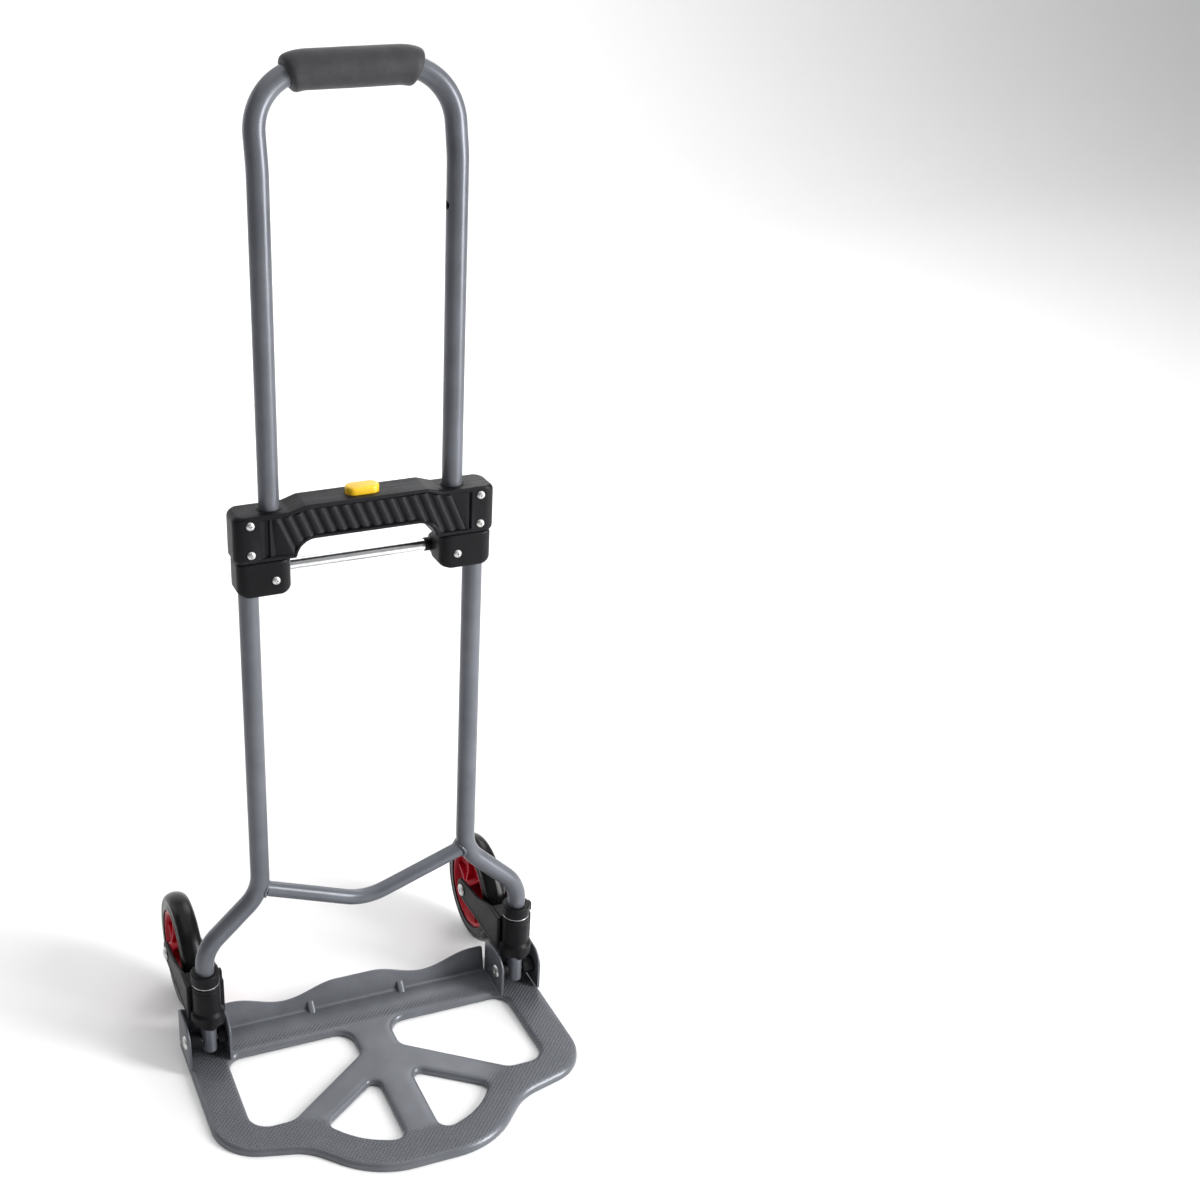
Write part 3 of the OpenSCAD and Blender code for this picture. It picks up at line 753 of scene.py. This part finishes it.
def rib_lines():
    """Crest and valley lines of the slanting ribs, each a top and a bottom x with its depth.
    The last rib at each end stands upright, so that the ribs fan out towards it."""
    tops = [(k * RIB_PITCH + u - 5.0, d) for k in range(-8, 8) for u, d in RIB_PROFILE]
    slanting = [(top, top + RIB_LEAN * PANEL_TALL, d) for top, d in tops if -88.2 < top < 81.0]
    crest, shoulder = 0.4, 0.6
    lead = [(-100.4, -100.4, RIB_DEEP), (-99.0, -99.0, crest), (-96.4, -96.4, shoulder),
            (-94.8, -94.8, RIB_DEEP), (-93.0, -93.0, RIB_DEEP), (-91.4, -91.4, crest),
            (-89.8, -88.0, shoulder), (-88.9, -85.5, RIB_DEEP)]
    tail = [(96.8, 96.8, crest), (98.3, 98.3, shoulder), (99.4, 99.4, RIB_DEEP)]
    return lead + slanting + tail


def rib_depth(p, ribs):
    """How deep the panel is at outline point p, from the rib lines either side of it."""
    t = (PANEL_TOP - p.y) / PANEL_TALL
    xs = [(top + (bottom - top) * t, d) for top, bottom, d in ribs]
    for (xa, da), (xb, db) in zip(xs, xs[1:]):
        if xa <= p.x <= xb:
            return da + (db - da) * (p.x - xa) / max(xb - xa, 1e-6)
    return RIB_DEEP


def rib_face(bm, outer):
    """The crossbar's face: a raised lip, then a sunk panel crossed by slanting ribs."""
    corners = bar_corners(BLOCK_R)
    edge, floor_loop = corner_loop(corners, 2.6), corner_loop(corners, 3.8)
    for loop in (edge, floor_loop):
        for p in loop:
            if abs(p.x) > PANEL_END:
                p.x = copysign(PANEL_END + (abs(p.x) - PANEL_END) * 0.02, p.x)
    ribs = rib_lines()
    lines = []
    for top, bottom, _ in ribs:
        run = []
        for j in range(49):
            t = j / PANEL_TALL - 0.1
            p = Vector((top + (bottom - top) * t, PANEL_TOP - PANEL_TALL * t))
            if abs(p.x) < PANEL_END - 0.6 and inside(p, floor_loop) \
                    and loop_distance(p, floor_loop) > 0.5:
                run.append(p)
            else:
                lines += [run] if len(run) > 1 else []
                run = []
        lines += [run] if len(run) > 1 else []

    def depth(p):
        if not inside(p, edge) or loop_distance(p, edge) < 0.05:
            return 0.0
        return rib_depth(p, ribs) * min(1.0, loop_distance(p, edge) / 1.2)

    fill(bm, outer, lambda p: front_place(p.x, p.y, depth(p)), creases=[edge, floor_loop], lines=lines)


def bores():
    """What passes through the crossbar, as cutters."""
    out = []
    for s in (-1, 1):
        out.append(rod((s * SIDE_X, TUBE_Y, 0), "Z", TUBE_R + 0.1, BAR_LOW - 5, 602.5))
        out.append(rod((s * HANDLE_X, TUBE_Y, 0), "Z", TUBE_R + 0.5, BAR_LOW - 5, 598))
        out.append(rod((s * HANDLE_X, TUBE_Y, 0), "Z", 11.6, 597.5, 620))
    well = bmesh.new()
    loop = corner_loop([(-16.7, 8.85, 8.6), (16.7, 8.85, 8.6), (16.7, -8.85, 8.6), (-16.7, -8.85, 8.6)])
    loft(well, [[at_tubes(p.x, z, p.y) for p in loop] for z in (588, 620)])
    return out + [well]


bar_front = shell(bar_corners, front_place, HALF_DEPTH, BLOCK_R, 1.8, relief=rib_face)
piece("crossbar_front_ribbed", bar_front, M_RIBBED, "frame", ["crossbar_front"], angle=28,
      cutters=bores())
piece("crossbar_rear_smooth", shell(bar_corners, rear_place, HALF_DEPTH, BLOCK_R, 1.8),
      M_BLACK, "frame", ["crossbar_rear"], cutters=bores())


def fillet_profile(corners, smallest=0.1):
    return [(p.x, p.y) for p in corner_loop(corners, 0.0, 12, smallest)]


def guide_ring():
    prof = fillet_profile([(9.6, 598.6, 0.3), (9.6, 607.2, 0.7), (11.5, 607.2, 0.7), (11.5, 598.6, 0.3)])
    return spin(prof, (HANDLE_X, TUBE_Y, 0))


for side, mirror in SIDES:
    piece(side + "_guide_ring", guide_ring(), M_BLACK, "frame",
          [side + "_guide_bush"], mirror)


def screw_head(x, z):
    """A pan head with a cross recess, on the front face."""
    face = TUBE_Y - HALF_DEPTH
    prof = [(0.0, face - 2.4), (1.2, face - 2.36), (2.3, face - 2.15), (3.2, face - 1.7), (3.8, face - 1.05),
            (4.1, face - 0.4), (4.1, face + 1.5), (0.0, face + 1.5)]
    return spin(prof, (x, 0, z), "Y", 40, close=False)


def cross_recess(x, z):
    face = TUBE_Y - HALF_DEPTH
    out = []
    for w, h in ((2.1, 0.42), (0.42, 2.1)):
        bm = bmesh.new()
        rings = []
        for y, k in ((face - 3.2, 1.12), (face - 1.0, 0.72)):
            rings.append([Vector((x + a * w * k, y, z + b * h))
                          for a, b in ((-1, -1), (1, -1), (1, 1), (-1, 1))])
        loft(bm, rings)
        out.append(bm)
    return out


def screws(name, spots, body, node):
    bm, tools = bmesh.new(), []
    for x, z in spots:
        add(bm, screw_head(x, z))
        tools += cross_recess(x, z)
    piece(name, bm, M_ZINC, body, [node], angle=30, cutters=tools)


bar_spots = [(s * SIDE_X, h) for s in (-1, 1) for h in SCREW_HEIGHTS]
screws("crossbar_screw_heads", bar_spots, "frame", "crossbar_screws")


# ---- handle ----
HANDLE_END = 533.5


def handle_points():
    top_y, top_z = GRIP_RUN * sin(LEAN), KINK_Z + GRIP_RUN * cos(LEAN)
    return [at_tubes(-HANDLE_X, HANDLE_END), at_tubes(-HANDLE_X, KINK_Z), at_tubes(-HANDLE_X, top_z, top_y),
            at_tubes(HANDLE_X, top_z, top_y), at_tubes(HANDLE_X, KINK_Z), at_tubes(HANDLE_X, HANDLE_END)]


handle_path = arc_path(handle_points(), [KINK_R, HANDLE_R, HANDLE_R, KINK_R])
lock_holes = [rod((0, TUBE_Y, h), "X", 3.8, a, b, 28)
              for h in (593, 861) for a, b in ((60, HANDLE_X - 1), (1 - HANDLE_X, -60))]
piece("handle_tube_bent", pipe(handle_path, TUBE_R, BORE_R), M_SLIDE, "handle",
      ["handle_tube"], cutters=lock_holes)


def foam_grip():
    """A foam sleeve over the top of the handle: crowned, with squeezed and chamfered ends."""
    lengths = [0.0]
    for (a, _), (b, _) in zip(handle_path, handle_path[1:]):
        lengths.append(lengths[-1] + (b - a).length)
    total = lengths[-1]

    def at(s):
        s = max(0.0, min(total, s))
        for i in range(len(lengths) - 1):
            if s <= lengths[i + 1]:
                t = (s - lengths[i]) / max(lengths[i + 1] - lengths[i], 1e-9)
                return (handle_path[i][0].lerp(handle_path[i + 1][0], t),
                        handle_path[i][1].lerp(handle_path[i + 1][1], t).normalized())
        return handle_path[-1]

    flat = HANDLE_X - HANDLE_R
    sweep = asin((57.0 - flat) / HANDLE_R)
    reach = flat + HANDLE_R * sweep
    stops = [-reach, -reach + 0.5, -reach + 1.4, -reach + 2.6, -reach + 4.0, -reach + 6.5]
    k = 44
    stops += [-reach + 9 + (2 * reach - 18) * j / k for j in range(k + 1)]
    stops += [-s for s in reversed(stops[:6])]
    edge = {0: 12.6, 1: 13.5, 2: 14.6, 3: 15.4, 4: 15.85, 5: 16.1}
    n = len(stops)

    def radius(i, a):
        j = min(i, n - 1 - i)
        base = edge.get(j, 16.12 + 0.13 * cos(pi * stops[i] / (2 * reach)))
        p = Vector((stops[i] * 0.045, cos(a) * 1.1, sin(a) * 1.1))
        wobble = 0.16 * noise.noise(p) + 0.06 * noise.noise(p * 3.1)
        seam = -0.18 * exp(-(sin(a) ** 2 * 900)) if cos(a) > 0 else 0.0
        return base + (wobble if j > 1 else 0) + (seam if j > 2 else 0)

    path = [at(total / 2 + s) for s in stops]
    outer = path_rings(path, radius, 72)
    inner = path_rings(path, 9.62, 72)
    bm = bmesh.new()
    loft(bm, outer + list(reversed(inner)), close=True)
    return bm


grip = piece("foam_grip_sleeve", foam_grip(), M_FOAM, "handle", ["foam_grip"], angle=50)

BLOCK_IN, BLOCK_OUT, BLOCK_LOW, BLOCK_TOP, BLOCK_SCREW = 71.7, 122.4, 528.5, 561.4, 543.0
ROD_BACK, ROD_H, ROD_R, BOSS_R, BOSS_IN = 16.0, 542.0, 5.5, 10.5, 66.5


def block_corners(pulled):
    a, b = BLOCK_IN + pulled, BLOCK_OUT - pulled
    return [(a, BLOCK_TOP, 3.0), (b, BLOCK_TOP, 3.0), (b, BLOCK_LOW, 6.5), (a, BLOCK_LOW, 6.5)]


def block_bores():
    return [rod((SIDE_X, TUBE_Y, 0), "Z", TUBE_R + 0.15, 500, 580),
            rod((HANDLE_X, TUBE_Y, 0), "Z", TUBE_R + 0.1, HANDLE_END, 580)]


def rod_boss():
    prof = [(ROD_R + 0.1, BOSS_IN + 7), (ROD_R + 0.1, BOSS_IN + 0.6), (ROD_R + 0.4, BOSS_IN),
            (ROD_R + 0.7, BOSS_IN), (ROD_R + 0.9, BOSS_IN + 0.4), (ROD_R + 0.9, BOSS_IN + 6.4),
            (BOSS_R - 1.0, BOSS_IN + 7.6),
            (BOSS_R, BOSS_IN + 9.0), (BOSS_R, BOSS_IN + 38)]
    prof += [(BOSS_R * c, BOSS_IN + 38 + BOSS_R * n) for c, n in map(cos_sin, range(10, 91, 10))]
    prof += [(0.0, BOSS_IN + 7)]
    return spin(prof, (0, TUBE_Y + ROD_BACK, ROD_H), "X", 56)


for side, mirror in SIDES:
    for half, place in (("front", front_place), ("rear", rear_place)):
        piece(side + "_block_" + half, shell(block_corners, place, HALF_DEPTH, BLOCK_R, 1.6), M_BLACK,
              "handle", [side + "_slider_" + half], mirror, cutters=block_bores())
    piece(side + "_rod_boss", rod_boss(), M_BLACK, "handle", [], mirror)
screws("block_screw_heads", [(s * HANDLE_X, BLOCK_SCREW) for s in (-1, 1)], "handle", "slider_screws")


def tie_rod():
    r, e = ROD_R, BOSS_IN + 6.5
    prof = [(0, -e), (r - 0.6, -e), (r, -e + 0.6)]
    prof += [(r, -e + 0.6 + (2 * e - 1.2) * k / 24) for k in range(1, 24)]
    prof += [(r, e - 0.6), (r - 0.6, e), (0, e)]
    return spin(prof, (0, TUBE_Y + ROD_BACK, ROD_H), "X", 48, close=False)


piece("tie_rod_chromed", tie_rod(), M_CHROME, "handle", ["tie_rod"])


# ---- release button ----
def button():
    corners = [(-16, 8.25, 8.1), (16, 8.25, 8.1), (16, -8.25, 8.1), (-16, -8.25, 8.1)]
    top = BAR_MID + 7.5
    bm = bmesh.new()
    prof = [(0.0, 599.8), (0.0, top - 2.6)]
    prof += [(2.6 * (1 - c), top - 2.6 + 2.6 * n * 0.86) for c, n in map(cos_sin, range(15, 91, 15))]
    prof += [(4.2, top - 0.24), (6.0, top - 0.08), (7.6, top)]
    loops = [(corner_loop(corners, e), z) for e, z in prof]
    loft(bm, [[at_tubes(p.x, z, p.y) for p in loop] for loop, z in loops], caps=(True, False))
    fill(bm, loops[-1][0], lambda p: Vector((p.x, TUBE_Y + p.y, top)))
    return bm


piece("release_button_pill", button(), M_YELLOW, "button", ["release_button"], angle=45)


# ---- collars, forks and wheels ----
BARREL_LOW, BARREL_TOP, CAP_LOW, CAP_TOP, COLLAR_R = 52.6, 101.9, 102.9, 116.0, 14.6
FORK_HALF, FORK_T = 19.5, 4.0


def collar_cap():
    prof = fillet_profile([(9.7, CAP_LOW, 0.2), (9.7, CAP_TOP, 1.0), (COLLAR_R, CAP_TOP, 1.6),
                           (COLLAR_R, 104.2, 0.4), (14.0, 103.6, 0.3), (14.0, CAP_LOW, 0.2)])
    return spin(prof, (FOOT_X, TUBE_Y, 0), steps=72)


def collar_lug(x):
    corners = [(-3.2, 114.6, 1.5), (3.2, 114.6, 1.5), (3.2, 104.4, 1.5), (-3.2, 104.4, 1.5)]
    return slab(corners, upright(x + 12.6), 4.2, 0.9)


def washer():
    prof = fillet_profile([(9.8, 102.0, 0.1), (9.8, 103.0, 0.1), (14.1, 102.9, 0.25), (14.1, 102.1, 0.25)])
    return spin(prof, (FOOT_X, TUBE_Y, 0), steps=72)


def barrel():
    """The turning barrel: its skirt's foot rises and falls in five cam teeth."""
    skirt, teeth, rise = 57.0, 5, 3.6

    def warp(r, h, a):
        if h < skirt:
            t = (a / (2 * pi) * teeth + 0.35) % 1.0
            tooth = t / 0.8 if t < 0.8 else (1 - t) / 0.2
            h += rise * tooth * (skirt - h) / 4.4
        return r, h

    prof = fillet_profile([(9.7, BARREL_LOW, 0.3), (9.7, BARREL_TOP, 0.3), (13.4, BARREL_TOP, 0.6),
                           (COLLAR_R, 100.6, 0.6), (COLLAR_R, 97.4, 0.2), (14.2, 97.0, 0.2),
                           (14.2, 96.2, 0.2), (COLLAR_R, 95.8, 0.2), (COLLAR_R, 70.2, 1.0),
                           (17.4, 66.6, 1.4), (17.4, BARREL_LOW, 0.7)])
    dense = []
    for a, b in zip(prof, prof[1:] + prof[:1]):
        dense.append(a)
        if abs(a[1] - b[1]) > 6 and min(a[1], b[1]) < 56:
            dense.append((a[0] + (b[0] - a[0]) * abs(57.5 - a[1]) / abs(b[1] - a[1]), 57.5))
    return spin(dense, (FOOT_X, TUBE_Y, 0), steps=140, warp=warp)


def fork_arm(s):
    back = AXLE_Y - TUBE_Y
    corners = [(3, 97, 2), (29, 97, 9), (60, 85.5, 40), (back + 11.6, AXLE_Z + 10.6, 10.5),
               (back + 11.6, AXLE_Z - 11.6, 10.5), (60, 56.3, 60), (3, 56, 2)]
    x0 = FOOT_X + s * (FORK_HALF - FORK_T / 2) - FORK_T / 2
    return slab(corners, upright(x0), FORK_T, 1.0, 0.55, 3.2)


def fork_web():
    bm = bmesh.new()
    x0, x1 = FOOT_X - FORK_HALF + 3.2, FOOT_X + FORK_HALF - 3.2
    corners = [(x0, 30, 3.0), (x1, 30, 3.0), (x1, 6, 2), (x0, 6, 2)]
    rings = []
    for e, z in ((1.6, 56.2), (0.5, 56.7), (0.0, 58.0), (0.0, 93.2), (0.5, 94.8), (1.7, 95.9), (3.0, 96.2)):
        rings.append([at_tubes(p.x, z, p.y) for p in corner_loop(corners, e)])
    loft(bm, rings)
    return bm


def double_rivet(x0, x1, y, z):
    """A bolt along X whose two riveted heads sit on the faces x0 and x1."""
    shaft = 4.0
    head = [(0.0, 1.2), (2.0, 1.25), (2.25, 2.3), (3.0, 2.5), (4.2, 2.42), (5.6, 1.95), (6.6, 1.2),
            (7.0, 0.5), (7.0, 0.0)]
    prof = [(r, x0 - h) for r, h in head] + [(shaft, x0), (shaft, x1)]
    prof += [(r, x1 + h) for r, h in reversed(head)]
    return spin(prof, (0, y, z), "X", 48, close=False)


def tyre():
    side_half = [(45.0, 9.6), (45.1, 11.3), (46.0, 12.0), (48.2, 12.0), (49.4, 11.5), (50.6, 11.1),
                 (52.2, 11.1), (53.8, 11.5), (55.4, 11.6), (57.0, 11.2), (58.5, 10.3), (59.8, 8.9),
                 (60.9, 7.0), (61.7, 4.8), (62.2, 2.6), (62.4, 0.9), (62.5, 0.35)]
    prof = side_half + [(r, -x) for r, x in reversed(side_half)]
    return spin([(r, FOOT_X + x) for r, x in prof], (0, AXLE_Y, AXLE_Z), "X", 144)


def hub():
    half = [(4.15, 0.0), (4.15, 14.8), (4.6, 15.2), (8.6, 15.2), (9.6, 14.7), (10.2, 13.8), (11.6, 5.2),
            (12.6, 3.6), (14.6, 2.9), (30.0, 2.5), (36.6, 3.0), (38.4, 4.1), (39.4, 6.0), (40.2, 9.0),
            (40.8, 10.2), (41.6, 10.8), (43.4, 10.8), (44.4, 10.4), (44.95, 9.4), (44.95, 0.0)]
    prof = half[:-1] + [(r, -x) for r, x in reversed(half[1:-1])]
    bm = spin([(r, FOOT_X + x) for r, x in prof], (0, AXLE_Y, AXLE_Z), "X", 120)
    corners = [(9.5, 12.4, 1.0), (20, 9.2, 8), (39.8, 7.6, 1.0), (39.8, -7.6, 1.0), (20, -9.2, 8),
               (9.5, -12.4, 1.0)]
    thick = 2.8
    for c, n in (cos_sin(60 * k + 12) for k in range(6)):
        radial, across = Vector((0, c, n)), Vector((0, -n, c))

        def place(r, x, d):
            return Vector((FOOT_X + x, AXLE_Y, AXLE_Z)) + radial * r + across * (d - thick / 2)

        add(bm, slab(corners, place, thick, 0.7))
    return bm


for side, mirror in SIDES:
    sx = -1 if mirror else 1
    piece(side + "_collar_cap_round", collar_cap(), M_BLACK, "frame",
          [side + "_collar_cap"], mirror)
    piece(side + "_collar_lug", collar_lug(sx * FOOT_X), M_BLACK, "frame")
    piece(side + "_collar_washer", washer(), M_ZINC, "frame", [], mirror)
    fork = side + "_fork"
    piece(side + "_fork_barrel", barrel(), M_BLACK, fork,
          [side + "_wheel_bracket"], mirror, 30)
    for kind, bm in (("outer_arm", fork_arm(1)), ("inner_arm", fork_arm(-1)), ("web", fork_web())):
        piece(side + "_fork_" + kind, bm, M_BLACK, fork, [], mirror)
    axle = double_rivet(FOOT_X - FORK_HALF, FOOT_X + FORK_HALF, AXLE_Y, AXLE_Z)
    piece(side + "_axle_rivet", axle, M_ZINC, fork, [side + "_axle"], mirror, 30)
    piece(side + "_tyre_round", tyre(), M_TYRE, side + "_wheel", [side + "_tyre"], mirror)
    piece(side + "_hub_ribbed", hub(), M_RED, side + "_wheel", [side + "_hub"], mirror, 30)


# ---- toe plate ----
PLATE_H, SHEET = 8.5, 2.0
PLATE_HALF = [(195, 36, 6), (195, -137.5, 50), (112, -158, 58), (60.5, -209.5, 92)]
REAR_CUT = [(21.5, -8.8, 18.5), (155.5, -8.8, 15.5), (156.5, -116.5, 20), (115.3, -116.5, 21),
            (21.5, -47.3, 13.5)]
FRONT_CUT = [(18, -84.3, 8), (86.8, -132.6, 9), (62.4, -162.8, 88), (18, -178.2, 11)]


def rolled(corners, roll, low_z, outward):
    """Loops of a rolled-down rim, from the top face over the edge and back up underneath."""
    s = 1 if outward else -1
    out = []
    for c, n in map(cos_sin, range(0, 91, 15)):
        out.append((roll * (1 - n), PLATE_H - roll * (1 - c)))
    out += [(0.0, low_z + 0.6), (0.25, low_z + 0.15), (0.7, low_z), (SHEET - 0.7, low_z),
            (SHEET - 0.25, low_z + 0.15), (SHEET, low_z + 0.6)]
    for c, n in map(cos_sin, (90, 60, 30, 0)):
        out.append((roll - (roll - SHEET) * n, PLATE_H - roll + (roll - SHEET) * c))
    return [(corner_loop(corners, s * e, 5.0), z) for e, z in out]


def toe_plate():
    bm = bmesh.new()
    outline = both_halves(PLATE_HALF)
    holes = [REAR_CUT, mirrored(REAR_CUT), FRONT_CUT, mirrored(FRONT_CUT)]
    rims = [rolled(outline, 5.2, 0.0, True)] + [rolled(h, 4.6, 0.8, False) for h in holes]
    for rim in rims:
        loft(bm, [[at_tubes(p.x, z, p.y) for p in loop] for loop, z in rim], caps=(False, False))
    for which, z in ((0, PLATE_H), (-1, PLATE_H - SHEET)):
        outer, inner = rims[0][which][0], [r[which][0] for r in rims[1:]]
        extra = []
        if which == 0:
            for i in range(-32, 33):
                for j in range(-35, 7):
                    p = Vector((i * 6.0, j * 6.0))
                    if inside(p, outer) and loop_distance(p, outer) > 2.5 \
                            and not any(inside(p, h) or loop_distance(p, h) < 2.5 for h in inner):
                        extra.append(p)
        fill(bm, outer, lambda p, z=z: at_tubes(p.x, z, p.y), holes=inner, extra=extra)
    return bm


def mark_grip_zone(ob):
    """Where the rolled anti-slip pattern is: the border of the plate in front of the tubes."""
    outer = corner_loop(both_halves(PLATE_HALF), 0.0)
    att = ob.data.attributes.new("grip_zone", "FLOAT", "POINT")

    def step(v, a, b):
        t = max(0.0, min(1.0, (v - a) / (b - a)))
        return t * t * (3 - 2 * t)

    values = []
    for v in ob.data.vertices:
        p = Vector((v.co.x / MM, v.co.y / MM - TUBE_Y))
        z = v.co.z / MM
        if z < PLATE_H - 3.5:
            values.append(0.0)
            continue
        away = loop_distance(p, outer)
        values.append(step(away, 2.0, 5.0) * step(-away, -44.0, -36.0) * step(-p.y, -14.0, 0.0))
    att.data.foreach_set("value", values)


plate = piece("toe_plate_pressed", toe_plate(), M_PLATE, "plate", ["toe_plate"], angle=40)
mark_grip_zone(plate)


FLANGE_HALF = 149.6


def wave(x):
    """Height of the flange's edge at x: crests in the middle and at the ends."""
    t = min(max(abs(x) - 20, 0), 117) / 117
    h = 27.5 - 6 * (1 - cos(2 * pi * t))
    end = abs(x) - FLANGE_HALF + 2.5
    if end > 0:
        h -= 2.5 - sqrt(max(2.5 ** 2 - end * end, 0.0))
    return h


def flange():
    """The wavy back flange, folded up from the plate with a soft bend."""
    bm = bmesh.new()
    lean_cos, lean_sin = cos_sin(12)
    bend_y, mid_z = 33.6, PLATE_H - 1.0
    xs = [FLANGE_HALF * (k / 49 - 1) for k in range(99)]
    xs[1:1], xs[-1:-1] = [0.995 * xs[0]], [0.995 * xs[-1]]
    rings = []
    for x in xs:
        h = wave(x)
        edge = Vector((x, bend_y + lean_sin * (h + 1), mid_z + lean_cos * (h + 1)))
        path = arc_path([Vector((x, 23.5, mid_z)), Vector((x, bend_y, mid_z)), edge], [4.0], 9.0)
        top, under = [], []
        for i, (p, t) in enumerate(path):
            n = Vector((0, -t.z, t.y))
            w = 0.35 if i == 0 else 1.0
            top.append(p + n * w)
            under.append(p - n * w)
        tip, t = path[-1]
        n = Vector((0, -t.z, t.y))
        cap = [tip + n, tip + t * 0.55 + n * 0.75, tip + t * 0.8 + n * 0.3,
               tip + t * 0.8 - n * 0.3, tip + t * 0.55 - n * 0.75]
        ring = top[:-1] + cap + list(reversed(under))
        rings.append([Vector((p.x, TUBE_Y + p.y, p.z)) for p in ring])
    loft(bm, rings)
    return bm


piece("back_flange", flange(), M_PLATE, "plate", [], angle=50)


def gusset(x):
    corners = [(25.0, PLATE_H - 1, 0.5), (34.2, 18.4, 3.0), (36.8, 18.4, 0.6), (35.0, PLATE_H - 1, 0.5)]
    return slab(corners, upright(x - 4.2), 8.4, 2.4)


for side, s in (("right", 1), ("left", -1)):
    piece(side + "_flange_gusset", gusset(s * 51), M_PLATE, "plate", [], angle=60)


# ---- ear brackets ----
EAR_IN, EAR_OUT, EAR_T, EAR_FRONT, EAR_TOP = 150.0, 192.5, 2.5, -16.0, 54.0


def ear_top_at(y):
    """Height of an ear's side at y: a quarter circle in front, then level, then a slope to the back."""
    if y < 2:
        return 36 + sqrt(max(18 ** 2 - (y - 2) ** 2, 0.0))
    drop = max(0.0, y - 20)
    return EAR_TOP - (drop * drop / 24.0 if drop < 12 else drop - 6.0)


def ear():
    """A strip of sheet folded into a U round the foot of a side tube."""
    bm = bmesh.new()
    a, b = EAR_IN + EAR_T / 2, EAR_OUT + EAR_T / 2
    back, fold, back_top = 34.45, 3.6, 45.5
    ys = [2 - 18 * cos_sin(t)[0] for t in (0, 6, 12, 18, 26, 34, 42, 50, 60, 70, 80, 90)]
    ys += [6, 11, 16, 20, 22, 24, 26, 28, 29.6]
    stations = [(Vector((a, y)), Vector((-1, 0)), ear_top_at(y)) for y in ys]
    arc = [cos_sin(t) for t in range(0, 91, 15)]
    for cos_t, sin_t in arc:
        n = Vector((-cos_t, sin_t))
        p = Vector((a + fold, back - fold)) + n * fold
        stations.append((p, n, ear_top_at(p.y) if p.y < back - 0.5 else back_top))
    for k in range(1, 12):
        x = a + fold + (b - a - 2 * fold) * k / 12
        stations.append((Vector((x, back)), Vector((0, 1)), back_top - 6.5 * sin(pi * k / 12)))
    for cos_t, sin_t in reversed(arc):
        n = Vector((cos_t, sin_t))
        p = Vector((b - fold, back - fold)) + n * fold
        stations.append((p, n, ear_top_at(p.y) if p.y < back - 0.5 else back_top))
    stations += [(Vector((b, y)), Vector((1, 0)), ear_top_at(y)) for y in reversed(ys)]
    rings = []
    last = len(stations) - 1
    for i, (p, n, top) in enumerate(stations):
        w = EAR_T / 2 * (0.5 if i in (0, last) else 1.0)
        half = [(w, PLATE_H - 0.1), (w, top - 0.9), (w * 0.8, top - 0.3), (w * 0.35, top)]
        section = half + [(-o, z) for o, z in reversed(half)]
        rings.append([Vector((p.x + n.x * o, TUBE_Y + p.y + n.y * o, z)) for o, z in section])
    loft(bm, rings)
    return bm


def ear_weld():
    """A low weld bead along the outside foot of an ear."""
    bm = bmesh.new()
    rings = []
    start, run, k = EAR_FRONT + 3, 44, 40
    for j in range(k + 1):
        y = start + run * j / k
        r = 0.3 if j in (0, k) else 1.5 + 0.22 * sin(j * 1.9)
        rings.append([Vector((EAR_IN - 0.2 + r * cos(t), TUBE_Y + y, PLATE_H + r * sin(t)))
                      for t in (2 * pi * i / 10 for i in range(10))])
    loft(bm, rings)
    return bm


def spacers():
    bm = bmesh.new()
    for x0, x1 in ((EAR_IN + EAR_T + 0.1, FOOT_X - 8.3), (FOOT_X + 8.3, EAR_OUT - 0.1)):
        for s in (-1, 1):
            a, b = (x0, x1) if s > 0 else (-x1, -x0)
            prof = fillet_profile([(4.1, a, 0.2), (4.1, b, 0.2), (8.6, b, 1.0), (8.6, a, 1.0)])
            add(bm, spin(prof, (0, TUBE_Y, PIVOT_Z), "X", 56))
    return bm


for side, mirror in SIDES:
    piece(side + "_ear_folded", ear(), M_EAR, "plate", [side + "_ear_bracket"], mirror, 40)
    piece(side + "_ear_weld", ear_weld(), M_EAR, "plate", [], mirror, 60)
    bolt = double_rivet(EAR_IN, EAR_OUT + EAR_T, TUBE_Y, PIVOT_Z)
    piece(side + "_pivot_rivet", bolt, M_ZINC, "plate", [side + "_pivot_bolt"], mirror, 30)
piece("pivot_spacer_discs", spacers(), M_BLACK, "plate", ["pivot_spacers"])


# ---- CAD nodes that keep their shape ----
KEPT_NODES = (("button_spring", M_SPRING), ("left_pin_spring", M_SPRING), ("right_pin_spring", M_SPRING),
              ("left_lock_pin", M_ZINC), ("right_lock_pin", M_ZINC))
for node_name, material in KEPT_NODES:
    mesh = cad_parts[node_name].data
    mesh.materials.clear()
    mesh.materials.append(material)
